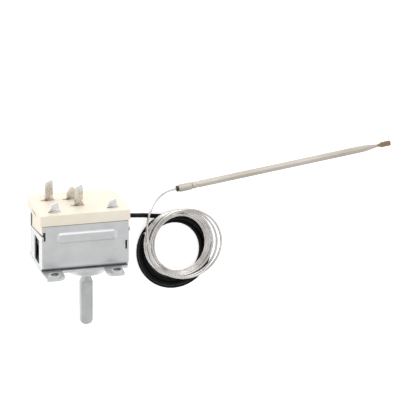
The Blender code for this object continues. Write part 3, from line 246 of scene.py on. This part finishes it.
def dressed(name, node, material, slot, edge=0.0):
    """A copy of a CAD node with each flat face made whole and its sharp edges broken, as on the real piece.
    The flat faces stay flat in the light, and only the broken edges turn it."""
    source = frame["nodes"][node]
    bm = bmesh.new()
    bm.from_mesh(source.data)
    bm.transform(source.matrix_world)
    bmesh.ops.remove_doubles(bm, verts=bm.verts, dist=SAME_POINT)
    bmesh.ops.dissolve_limit(bm, angle_limit=FLAT_ANGLE, verts=bm.verts, edges=bm.edges)
    mesh = bpy.data.meshes.new(name)
    bm.to_mesh(mesh)
    bm.free()
    mesh.shade_smooth()
    obj = object_from(name, mesh)
    if edge:
        bevel = obj.modifiers.new("broken_edges", "BEVEL")
        bevel.width = edge
        bevel.segments = EDGE_STEPS
        bevel.limit_method = "ANGLE"
        bevel.angle_limit = SHARP_ANGLE
        weighted = obj.modifiers.new("flat_faces", "WEIGHTED_NORMAL")
        weighted.weight = LARGEST_WEIGHT
        plain_mesh(obj)
    else:
        mesh.set_sharp_from_angle(angle=SHARP_ANGLE)
    paint(obj, material)
    belong(obj, slot, node)
    return obj


zinc = new_material("galvanised_steel", ZINC_LIGHT, Roughness=0.38, Metallic=0.7)
spangle = grain(zinc, 5 * MM, detail=4)
rolled = grain(zinc, 0.35 * MM, stretch=(0.08, 1, 1), detail=4)
sheet = colours(zinc, spangle, (0.3, ZINC_DARK), (0.7, ZINC_LIGHT))
# The lugs' tops are painted lighter: a painted highlight.
sheet = tinted(zinc, within(zinc, LUG_TOPS), sheet, ZINC_PAINTED_HIGHLIGHT)
# Inside the can the zinc is painted nearly black: painted shade.
sheet = tinted(zinc, within(zinc, CAN_INSIDE), sheet, ZINC_PAINTED_SHADE)
feed(zinc, "Base Color", sheet)
feed(zinc, "Roughness", spread(zinc, spangle, 0.31, 0.4))
bump(zinc, rolled, 0.004 * MM)
dressed("can", "steel_housing", zinc, "galvanised_steel", edge=SHEET_EDGE)


# The mounting plate is galvanised sheet 1.2 mm thick, with a drawn boss for the shaft and two ears. Each ear
# has a hole that is drawn into a collar and tapped M4, for a screw from the front of the cooker. The thread
# is a ridge that winds up the hole.
EAR_HOLES = [(-15.1 * MM, 32.4 * MM), (12.9 * MM, 32.4 * MM)]
PLATE_LOW_Y = -4.25 * MM
THREAD_RADIUS = 1.72 * MM
THREAD_PITCH = 0.7 * MM
THREAD_LENGTH = 2.1 * MM
THREAD_DEPTH = 0.24 * MM
THREAD_STEPS_PER_TURN = 24
RIDGE_SIDES = 4
THREAD_PAINTED_SHADE = (0.06, 0.06, 0.06)


def new_tree(name, inputs):
    """An empty Geometry Nodes tree, its group input, and each named input's identifier."""
    tree = bpy.data.node_groups.new(name, "GeometryNodeTree")
    tree.interface.new_socket("Geometry", in_out="INPUT", socket_type="NodeSocketGeometry")
    names = {}
    for label, kind in inputs:
        names[label] = tree.interface.new_socket(label, in_out="INPUT", socket_type=kind).identifier
    tree.interface.new_socket("Geometry", in_out="OUTPUT", socket_type="NodeSocketGeometry")
    return tree, tree.nodes.new("NodeGroupInput"), names


def join(tree, *pairs):
    """Links each pair of an outgoing and an incoming socket."""
    for outgoing, incoming in pairs:
        tree.links.new(outgoing, incoming)


def close_tree(tree, entry, last):
    """Ends the tree in smooth shading, Realize Instances and Set Material."""
    smooth = tree.nodes.new("GeometryNodeSetShadeSmooth")
    realize = tree.nodes.new("GeometryNodeRealizeInstances")
    coat = tree.nodes.new("GeometryNodeSetMaterial")
    out = tree.nodes.new("NodeGroupOutput")
    join(
        tree,
        (last, smooth.inputs["Geometry"]),
        (smooth.outputs["Geometry"], realize.inputs["Geometry"]),
        (realize.outputs["Geometry"], coat.inputs["Geometry"]),
        (entry.outputs["Material"], coat.inputs["Material"]),
        (coat.outputs["Geometry"], out.inputs["Geometry"]),
    )


def grow(name, points, edges, tree, names, **values):
    """A plain mesh that a tree makes from points and the edges between them."""
    mesh = bpy.data.meshes.new(name)
    mesh.from_pydata([tuple(point) for point in points], edges, [])
    obj = object_from(name, mesh)
    modifier = obj.modifiers.new("build", "NODES")
    modifier.node_group = tree
    for label, value in values.items():
        modifier[names[label.replace("_", " ")]] = value
    return plain_mesh(obj)


thread_tree, entry, thread_names = new_tree("tapped_thread", [
    ("Radius", "NodeSocketFloat"),
    ("Turns", "NodeSocketFloat"),
    ("Length", "NodeSocketFloat"),
    ("Depth", "NodeSocketFloat"),
    ("Material", "NodeSocketMaterial"),
])
helix = thread_tree.nodes.new("GeometryNodeCurveSpiral")
helix.inputs["Resolution"].default_value = THREAD_STEPS_PER_TURN
ridge = thread_tree.nodes.new("GeometryNodeCurvePrimitiveCircle")
ridge.inputs["Resolution"].default_value = RIDGE_SIDES
sweep = thread_tree.nodes.new("GeometryNodeCurveToMesh")
sweep.inputs["Fill Caps"].default_value = True
upright = thread_tree.nodes.new("GeometryNodeTransform")
upright.inputs["Rotation"].default_value = (-math.pi / 2, 0, 0)
at_holes = thread_tree.nodes.new("GeometryNodeInstanceOnPoints")
join(
    thread_tree,
    (entry.outputs["Turns"], helix.inputs["Rotations"]),
    (entry.outputs["Radius"], helix.inputs["Start Radius"]),
    (entry.outputs["Radius"], helix.inputs["End Radius"]),
    (entry.outputs["Length"], helix.inputs["Height"]),
    (entry.outputs["Depth"], ridge.inputs["Radius"]),
    (helix.outputs["Curve"], sweep.inputs["Curve"]),
    (ridge.outputs["Curve"], sweep.inputs["Profile Curve"]),
    (sweep.outputs["Mesh"], upright.inputs["Geometry"]),
    (entry.outputs["Geometry"], at_holes.inputs["Points"]),
    (upright.outputs["Geometry"], at_holes.inputs["Instance"]),
)
close_tree(thread_tree, entry, at_holes.outputs["Instances"])

dressed("front_plate", "mounting_plate", zinc, "galvanised_steel", edge=SHEET_EDGE)

# The thread is painted nearly black: painted shade inside the tapped holes.
shaded_thread = new_material("thread_painted_shade", THREAD_PAINTED_SHADE, Roughness=0.35, Metallic=0.9)
cutting = grain(shaded_thread, 0.3 * MM)
feed(shaded_thread, "Roughness", spread(shaded_thread, cutting, 0.28, 0.42))
threads = grow(
    "ear_threads",
    points=[(x, PLATE_LOW_Y, z) for x, z in EAR_HOLES],
    edges=[],
    tree=thread_tree,
    names=thread_names,
    Radius=THREAD_RADIUS,
    Turns=THREAD_LENGTH / THREAD_PITCH,
    Length=THREAD_LENGTH,
    Depth=THREAD_DEPTH,
    Material=shaded_thread,
)
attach(threads, "housing")


# The shaft is turned from 6 mm bar, milled flat for the knob, and dull plated. A stop washer is pressed on
# it, a circlip holds it, and both are stamped from strip. It turns in a brass bush in the plate.
BAR_DARK = (0.45, 0.46, 0.46)
BAR_LIGHT = (0.52, 0.53, 0.53)
BRASS_DARK = (0.52, 0.34, 0.13)
BRASS_LIGHT = (0.72, 0.53, 0.25)

bar_steel = new_material("bright_steel", BAR_LIGHT, Roughness=0.42, Metallic=0.6)
drift = grain(bar_steel, 4 * MM)
milled = grain(bar_steel, 0.3 * MM, stretch=(1, 0.06, 1))
feed(bar_steel, "Base Color", colours(bar_steel, drift, (0.3, BAR_DARK), (0.7, BAR_LIGHT)))
feed(bar_steel, "Roughness", spread(bar_steel, milled, 0.34, 0.46))
bump(bar_steel, milled, 0.004 * MM)

brass = new_material("plain_brass", BRASS_LIGHT, Roughness=0.34, Metallic=0.95)
tarnish = grain(brass, 3 * MM, detail=4)
feed(brass, "Base Color", colours(brass, tarnish, (0.3, BRASS_DARK), (0.7, BRASS_LIGHT)))
feed(brass, "Roughness", spread(brass, tarnish, 0.28, 0.42))

dressed("shaft", "spindle", bar_steel, "bright_steel", edge=0.08 * MM)
dressed("stop_washer", "stop_disc", bar_steel, "bright_steel", edge=0.06 * MM)
dressed("shaft_clip", "circlip", bar_steel, "bright_steel", edge=0.05 * MM)
dressed("bush", "spindle_bush", brass, "brass", edge=0.06 * MM)


# The capsule is two waved discs of steel, welded at the rim round the liquid, with a stud on top. The
# capillary is drawn stainless tube, and its first stretch is brazed into the rim and goes up inside the can.
STAINLESS_DARK = (0.51, 0.485, 0.46)
STAINLESS_LIGHT = (0.68, 0.66, 0.64)

stainless = new_material("capillary_steel", STAINLESS_LIGHT, Roughness=0.2, Metallic=1.0)
drift = grain(stainless, 7 * MM)
drawn = grain(stainless, 0.5 * MM)
feed(stainless, "Base Color", colours(stainless, drift, (0.3, STAINLESS_DARK), (0.6, STAINLESS_LIGHT)))
feed(stainless, "Roughness", spread(stainless, drawn, 0.16, 0.26))
bump(stainless, drawn, 0.003 * MM)

dressed("capsule", "diaphragm_capsule", bar_steel, "bright_steel", edge=0.05 * MM)
dressed("capillary_root", "capillary_inside", stainless, "tube_steel")


# The switch base is pressed from steatite powder and fired, cream and almost matt, with the die's soft
# edges. The pin that carries the capsule's lift to the switch is ground from the same ceramic. What stands
# inside the can is painted nearly black, as painted shade.
CREAM_DARK = (0.735, 0.665, 0.55)
CREAM_LIGHT = (0.785, 0.72, 0.615)
CREAM_PAINTED_SHADE = (0.05, 0.043, 0.03)

ceramic = new_material("cream_ceramic", CREAM_LIGHT, Roughness=0.5, Metallic=0.0, Subsurface_Weight=0.04)
firing = grain(ceramic, 9 * MM)
powder = grain(ceramic, 0.4 * MM, detail=2)
body = colours(ceramic, firing, (0.3, CREAM_DARK), (0.7, CREAM_LIGHT))
# Inside the can the ceramic is painted nearly black: painted shade.
body = tinted(ceramic, within(ceramic, CAN_INSIDE), body, CREAM_PAINTED_SHADE)
feed(ceramic, "Base Color", body)
feed(ceramic, "Roughness", spread(ceramic, firing, 0.42, 0.56))
bump(ceramic, powder, 0.006 * MM)

dressed("switch_base", "ceramic_base", ceramic, "cream_ceramic", edge=0.12 * MM)
dressed("push_pin", "pressure_pin", ceramic, "cream_ceramic")


# A board of pressed mica lies over the mouth of the switch's well, where the ceramic and the can hold it at
# its edges. It is punched from flat stock, and the hole in its middle guides the pin.
MICA_DARK = (0.096, 0.075, 0.051)
MICA_LIGHT = (0.162, 0.132, 0.096)

mica = new_material("mica_board", MICA_LIGHT, Roughness=0.65, Metallic=0.0)
flakes = grain(mica, 1.6 * MM, stretch=(1, 0.3, 1), detail=4)
feed(mica, "Base Color", colours(mica, flakes, (0.3, MICA_DARK), (0.7, MICA_LIGHT)))
bump(mica, flakes, 0.02 * MM)
dressed("board", "guide_plate", mica, "mica_board", edge=0.06 * MM)


# The snap switch is a leaf of copper alloy with a tongue stamped out of it. One silver contact is on the
# leaf, and the other is on one of the two brass straps that hang from the ceramic. The other strap holds the
# leaf's end.
COPPER_DARK = (0.58, 0.28, 0.15)
COPPER_LIGHT = (0.76, 0.45, 0.27)
SILVER = (0.86, 0.86, 0.84)

copper = new_material("spring_copper", COPPER_LIGHT, Roughness=0.34, Metallic=0.95)
heat = grain(copper, 3 * MM)
feed(copper, "Base Color", colours(copper, heat, (0.3, COPPER_DARK), (0.7, COPPER_LIGHT)))
silver = new_material("contact_silver", SILVER, Roughness=0.28, Metallic=0.95)
wear = grain(silver, 0.8 * MM)
feed(silver, "Roughness", spread(silver, wear, 0.2, 0.4))

dressed("leaf", "snap_blade", copper, "spring_copper", edge=0.04 * MM)
dressed("leaf_contact", "moving_contact", silver, "contact_silver")
dressed("strap_contact", "fixed_contact", silver, "contact_silver")
dressed("fixed_strap", "contact_strap", brass, "brass", edge=0.05 * MM)
dressed("leaf_strap", "blade_strap", brass, "brass", edge=0.05 * MM)


# The terminals are stamped from tinned brass, pushed through slots in the ceramic and twisted there. The
# brass shows warm through the thin tin near the slots, and the blades' ends are greyer.
TIN_WARM = (0.36, 0.28, 0.19)
TIN_BEIGE = (0.60, 0.53, 0.445)
TIN_GREY = (0.50, 0.49, 0.465)
TIN_BRIGHT = (0.72, 0.715, 0.70)
SLOT_HEIGHT = 23.5 * MM
BLADE_END = 31.5 * MM


def along_y(material, low, high):
    """From nought to one between two places along the piece's y."""
    rise = material.node_tree.nodes.new("ShaderNodeMapRange")
    rise.inputs["From Min"].default_value = low
    rise.inputs["From Max"].default_value = high
    link(material, place_axes(material)["Y"], rise.inputs["Value"])
    return rise.outputs["Result"]


tinned = new_material("tinned_brass", TIN_BEIGE, Roughness=0.34, Metallic=0.88)
thin = grain(tinned, 2.6 * MM, detail=4)
wiped = grain(tinned, 0.4 * MM, stretch=(1, 0.15, 1))
foot = colours(tinned, thin, (0.32, TIN_WARM), (0.55, TIN_BEIGE))
end = colours(tinned, thin, (0.35, TIN_GREY), (0.7, TIN_BRIGHT))
tin = tinted(tinned, along_y(tinned, SLOT_HEIGHT, BLADE_END), foot, end)
feed(tinned, "Base Color", tin)
feed(tinned, "Roughness", spread(tinned, wiped, 0.28, 0.42))
bump(tinned, wiped, 0.004 * MM)

for side in ("left", "middle", "rear"):
    dressed("tab_" + side, "terminal_" + side, tinned, "tinned_brass", edge=0.08 * MM)


# A small tubular rivet goes through the can's right wall. It is drawn from thin steel and headed over on
# the wall, and its plating is darker than the can's zinc.
RIVET_DARK = (0.10, 0.10, 0.10)
RIVET_LIGHT = (0.22, 0.22, 0.22)

rivet_steel = new_material("rivet_steel", RIVET_LIGHT, Roughness=0.4, Metallic=0.6)
stain = grain(rivet_steel, 0.8 * MM)
feed(rivet_steel, "Base Color", colours(rivet_steel, stain, (0.3, RIVET_DARK), (0.7, RIVET_LIGHT)))
dressed("wall_rivet", "side_rivet", rivet_steel, "bright_steel", edge=0.06 * MM)


# The sleeve is black silicone rubber, pulled over the capillary's first 0.4 m outside the can. It comes out
# of the right wall, goes down to the table and lies there in four turns, two below and two on top of them.
SLEEVE_WIDTH = 2.0 * MM
SLEEVE_EXIT = Vector((18.7, 14.45, 11.0)) * MM
# The stretch from the can to the coil, in mm
SLEEVE_LEAD = [
    (21.5, 14.45, 11.0),
    (25.1, 13.65, 9.6),
    (28.7, 12.15, 6.3),
    (32.1, 10.85, 3.6),
    (34.7, 10.15, 2.8),
]
# The coil's centre in mm, and its length as a share of its width
SLEEVE_COIL_CENTRE = (45.3, -6.6)
SLEEVE_COIL_STRETCH = 1.085
SLEEVE_START_DEGREES = 105.0
SLEEVE_HALF_TURNS = 7.75
SLEEVE_SPACING = 2.0 * MM
# The coil's half-width and its height over the table at each half turn, in mm
SLEEVE_LOOPS = [
    (15.4, 2.9),
    (16.6, 1.1),
    (14.7, 1.1),
    (13.4, 1.1),
    (12.1, 1.2),
    (12.9, 2.9),
    (13.9, 3.0),
    (14.8, 3.0),
    (15.6, 3.0),
]
RUBBER_DARK = (0.003, 0.003, 0.0035)
RUBBER_LIGHT = (0.009, 0.009, 0.0095)


def between(values, place):
    """The row of values at a place, counted in rows, on a smooth curve through all the rows."""
    index = min(int(place), len(values) - 2)
    part = place - index
    before, start = Vector(values[max(index - 1, 0)]), Vector(values[index])
    end, after = Vector(values[index + 1]), Vector(values[min(index + 2, len(values) - 1)])
    return 0.5 * (
        2 * start
        + (end - before) * part
        + (2 * before - 5 * start + 4 * end - after) * part * part
        + (3 * start - before - 3 * end + after) * part * part * part
    )


def winding(loops, loops_per_turn, start_angle, turns, steps):
    """Points of a coil wound clockwise, with steps of them to a turn. A loop is the centre's x and y, the
    half-width, the half-length and the height, and the coil goes smoothly from one loop to the next."""
    points = []
    for i in range(int(turns * steps) + 1):
        x, y, half_width, half_length, z = between(loops, i / steps * loops_per_turn)
        angle = math.radians(start_angle) - 2 * math.pi * i / steps
        points.append(Vector((x + half_width * math.cos(angle), y + half_length * math.sin(angle), z)))
    return points


def smooth_route(points, spacing):
    """Points about a spacing apart, on one smooth curve through the given ones."""
    route = []
    for i in range(len(points) - 1):
        count = max(1, round((points[i + 1] - points[i]).length / spacing))
        route += [between(points, i + step / count) for step in range(count)]
    return route + [points[-1]]


tube_tree, entry, tube_names = new_tree("tube_along_route", [
    ("Radius", "NodeSocketFloat"),
    ("Sides", "NodeSocketInt"),
    ("Material", "NodeSocketMaterial"),
])
path = tube_tree.nodes.new("GeometryNodeMeshToCurve")
section = tube_tree.nodes.new("GeometryNodeCurvePrimitiveCircle")
sweep = tube_tree.nodes.new("GeometryNodeCurveToMesh")
sweep.inputs["Fill Caps"].default_value = True
join(
    tube_tree,
    (entry.outputs["Geometry"], path.inputs["Mesh"]),
    (entry.outputs["Sides"], section.inputs["Resolution"]),
    (entry.outputs["Radius"], section.inputs["Radius"]),
    (path.outputs["Curve"], sweep.inputs["Curve"]),
    (section.outputs["Curve"], sweep.inputs["Profile Curve"]),
)
close_tree(tube_tree, entry, sweep.outputs["Mesh"])


def tube(name, route, width, sides, material):
    """A tube of one width along the route, closed at both ends."""
    edges = [(i, i + 1) for i in range(len(route) - 1)]
    return grow(name, route, edges, tube_tree, tube_names, Radius=width / 2, Sides=sides, Material=material)


rubber = new_material("black_sleeve", RUBBER_DARK, Roughness=0.5, Metallic=0.0, Specular_IOR_Level=0.08)
bloom = grain(rubber, 8 * MM)
skin = grain(rubber, 0.6 * MM, detail=4)
feed(rubber, "Base Color", colours(rubber, bloom, (0.35, RUBBER_DARK), (0.75, RUBBER_LIGHT)))
feed(rubber, "Roughness", spread(rubber, skin, 0.34, 0.5))
bump(rubber, skin, 0.01 * MM)

sleeve_loops = [
    tuple(value * MM for value in (*SLEEVE_COIL_CENTRE, size, size * SLEEVE_COIL_STRETCH, z))
    for size, z in SLEEVE_LOOPS
]
sleeve_points = [SLEEVE_EXIT] + [Vector(point) * MM for point in SLEEVE_LEAD]
sleeve_points += winding(
    sleeve_loops, loops_per_turn=2, start_angle=SLEEVE_START_DEGREES, turns=SLEEVE_HALF_TURNS / 2, steps=16
)
sleeve_route = smooth_route(sleeve_points, SLEEVE_SPACING)
sleeve = tube("sleeve", sleeve_route, SLEEVE_WIDTH, sides=14, material=rubber)
belong(sleeve, "black_sleeve", "sleeve_lead", "sleeve_coil")


# The bare capillary is drawn stainless tube 1 mm across, full of liquid. It comes out of the sleeve's end
# and is wound by hand into eight springy turns, which lie on the black coil, loosest on the right. Its last
# stretch bends down beside them to the probe.
CAPILLARY_WIDTH = 1.0 * MM
CAPILLARY_START_DEGREES = 150.0
CAPILLARY_TURNS = 7.92
CAPILLARY_SPACING = 1.6 * MM
# The coil's first steps, which the bend out of the sleeve takes up
STEPS_LEFT_OUT = 3
# Centre x and y, half-width, half-length and height over the table at each turn, in mm
CAPILLARY_LOOPS = [
    (46.3, -3.0, 13.9, 14.1, 4.6),
    (47.4, -2.9, 11.6, 13.2, 5.0),
    (47.1, -3.1, 12.5, 13.5, 5.6),
    (46.2, -2.2, 13.8, 14.5, 6.2),
    (45.8, -1.9, 14.6, 15.2, 6.8),
    (46.2, -1.9, 15.0, 15.3, 7.4),
    (47.2, -1.9, 15.3, 15.6, 8.0),
    (49.0, -2.0, 15.8, 15.9, 8.7),
    (49.2, -1.9, 16.4, 16.1, 9.4),
]
# The stretch from the coil to the probe, in mm
CAPILLARY_TAIL = [
    (31.7, 5.2, 9.5),
    (32.2, 9.6, 8.5),
    (33.5, 13.5, 7.3),
    (35.9, 17.15, 5.6),
    (39.0, 19.55, 4.0),
    (42.6, 20.9, 2.6),
    (46.6, 21.35, 1.7),
]
# The stretch inside the probe, along its middle, in mm
CAPILLARY_IN_BULB = [(56.5, 22.72, 1.7), (66.4, 24.08, 1.7), (76.3, 25.45, 1.7), (88.2, 27.09, 1.7)]

capillary_loops = [tuple(value * MM for value in loop) for loop in CAPILLARY_LOOPS]
capillary_coil = winding(
    capillary_loops, loops_per_turn=1, start_angle=CAPILLARY_START_DEGREES, turns=CAPILLARY_TURNS, steps=18
)
sleeve_end = sleeve_route[-1]
capillary_points = [sleeve_end] + capillary_coil[STEPS_LEFT_OUT:]
capillary_points += [Vector(point) * MM for point in CAPILLARY_TAIL + CAPILLARY_IN_BULB]
capillary_route = smooth_route(capillary_points, CAPILLARY_SPACING)
capillary = tube("capillary", capillary_route, CAPILLARY_WIDTH, sides=12, material=stainless)
belong(capillary, "tube_steel", "capillary_coil", "capillary_tail")


# The probe is stainless tube 3 mm across, grown warm in the brazing. Its collar is brazed on the capillary
# round a dark red seal, and its far end is drawn in, pressed flat and welded, which browns it.
PROBE_START = Vector(CAPILLARY_TAIL[-1]) * MM
PROBE_ALONG = Vector((0.9906, 0.1368, 0.0))
# Distance along the probe in mm, and the share of the solid's width that is left there
DRAWN_IN = [
    (84.0, 1.0), (86.0, 0.95), (88.0, 0.84), (90.0, 0.68),
    (92.0, 0.5), (92.8, 0.6), (93.6, 0.74), (97.0, 0.76),
]
# Ranges of x, y and z in mm
WELDED_TIP = ((137.6, 150.0), (0.0, 60.0), (-10.0, 10.0))
TIP_BROWN = (0.26, 0.19, 0.115)
PROBE_BROWN = (0.42, 0.37, 0.315)
PROBE_WARM = (0.51, 0.47, 0.42)
PROBE_LIGHT = (0.56, 0.53, 0.49)
SEAL_DARK = (0.010, 0.004, 0.004)
SEAL_RED = (0.10, 0.012, 0.012)

probe_steel = new_material("probe_steel", PROBE_WARM, Roughness=0.5, Metallic=0.6)
tint = grain(probe_steel, 9 * MM, stretch=(0.3, 1, 1), detail=4)
polished = grain(probe_steel, 0.5 * MM, stretch=(0.08, 1, 1))
warm = colours(probe_steel, tint, (0.25, PROBE_BROWN), (0.5, PROBE_WARM), (0.75, PROBE_LIGHT))
warm = tinted(probe_steel, within(probe_steel, WELDED_TIP), warm, TIP_BROWN)
feed(probe_steel, "Base Color", warm)
feed(probe_steel, "Roughness", spread(probe_steel, polished, 0.42, 0.58))
bump(probe_steel, polished, 0.005 * MM)

seal = new_material("dark_seal", SEAL_DARK, Roughness=0.45, Metallic=0.0)
clots = grain(seal, 0.7 * MM, detail=2)
feed(seal, "Base Color", colours(seal, clots, (0.35, SEAL_DARK), (0.7, SEAL_RED)))


def drawn_in(obj):
    """Draws the bulb's far end in along the listed shares of its width."""
    bm = bmesh.new()
    bm.from_mesh(obj.data)
    for place, share in DRAWN_IN:
        everything = bm.verts[:] + bm.edges[:] + bm.faces[:]
        cut_at = PROBE_START + PROBE_ALONG * place * MM
        bmesh.ops.bisect_plane(bm, geom=everything, plane_co=cut_at, plane_no=PROBE_ALONG)
    for vert in bm.verts:
        place = (vert.co - PROBE_START).dot(PROBE_ALONG) / MM
        middle = PROBE_START + PROBE_ALONG * place * MM
        share = DRAWN_IN[0][1]
        for (low, share_low), (high, share_high) in zip(DRAWN_IN, DRAWN_IN[1:]):
            if place > low:
                share = share_low + (share_high - share_low) * min((place - low) / (high - low), 1.0)
        vert.co = middle + (vert.co - middle) * share
    bm.to_mesh(obj.data)
    bm.free()
    return obj


probe_pieces = [
    drawn_in(dressed("bulb", "probe_bulb", probe_steel, "probe_steel")),
    dressed("bulb_collar", "probe_collar", probe_steel, "probe_steel", edge=0.08 * MM),
    dressed("bulb_seal", "probe_seal", seal, "dark_seal", edge=0.08 * MM),
]


# The table is white and the light is soft, as in a light tent: a bright sky that is dimmer towards the
# shaft, a large lamp over the terminals, and a weaker one on each of the other three sides.
TABLE_SIZE = 3.0
TABLE_GAP = 0.02 * MM
TABLE_WHITE = (0.95, 0.95, 0.95)
TABLE_GLOW = 0.5
SKY_LOW = 0.66
SKY_HIGH = 0.92
# Name, place, size and power, in metres and watts
LAMPS = [
    ("key", (-0.10, 0.60, 0.50), 0.55, 1.9),
    ("left", (-0.65, -0.05, 0.45), 0.50, 0.5),
    ("right", (0.60, -0.25, 0.50), 0.50, 0.5),
    ("shaft", (0.00, -0.60, 0.65), 0.45, 0.25),
]
LIT_POINT = Vector((0.04, 0.01, 0.0))

table_white = new_material("table_white", TABLE_WHITE, Roughness=0.9, Metallic=0.0)
shader_of(table_white).inputs["Emission Color"].default_value = (1, 1, 1, 1)
shader_of(table_white).inputs["Emission Strength"].default_value = TABLE_GLOW
bm = bmesh.new()
bmesh.ops.create_grid(bm, x_segments=1, y_segments=1, size=TABLE_SIZE / 2)
bmesh.ops.translate(bm, verts=bm.verts, vec=(0, 0, -TABLE_GAP))
table_mesh = bpy.data.meshes.new("table")
bm.to_mesh(table_mesh)
bm.free()
table_mesh.materials.append(table_white)
object_from("table", table_mesh)

world = bpy.data.worlds.new("light_tent")
bpy.context.scene.world = world
world.use_nodes = True
sky = world.node_tree.nodes["Background"]
sky.inputs["Color"].default_value = (1, 1, 1, 1)
direction = world.node_tree.nodes.new("ShaderNodeTexCoord")
axes = world.node_tree.nodes.new("ShaderNodeSeparateXYZ")
fade = world.node_tree.nodes.new("ShaderNodeMapRange")
fade.inputs["From Min"].default_value = -1
fade.inputs["To Min"].default_value = SKY_LOW
fade.inputs["To Max"].default_value = SKY_HIGH
join(
    world.node_tree,
    (direction.outputs["Generated"], axes.inputs["Vector"]),
    (axes.outputs["Y"], fade.inputs["Value"]),
    (fade.outputs["Result"], sky.inputs["Strength"]),
)

for name, place, size, power in LAMPS:
    lamp = bpy.data.lights.new(name, "AREA")
    lamp.size = size
    lamp.energy = power
    stand = object_from(name, lamp)
    stand.location = place
    stand.rotation_euler = (LIT_POINT - Vector(place)).to_track_quat("-Z", "Y").to_euler()

bpy.context.scene.view_settings.view_transform = "Standard"
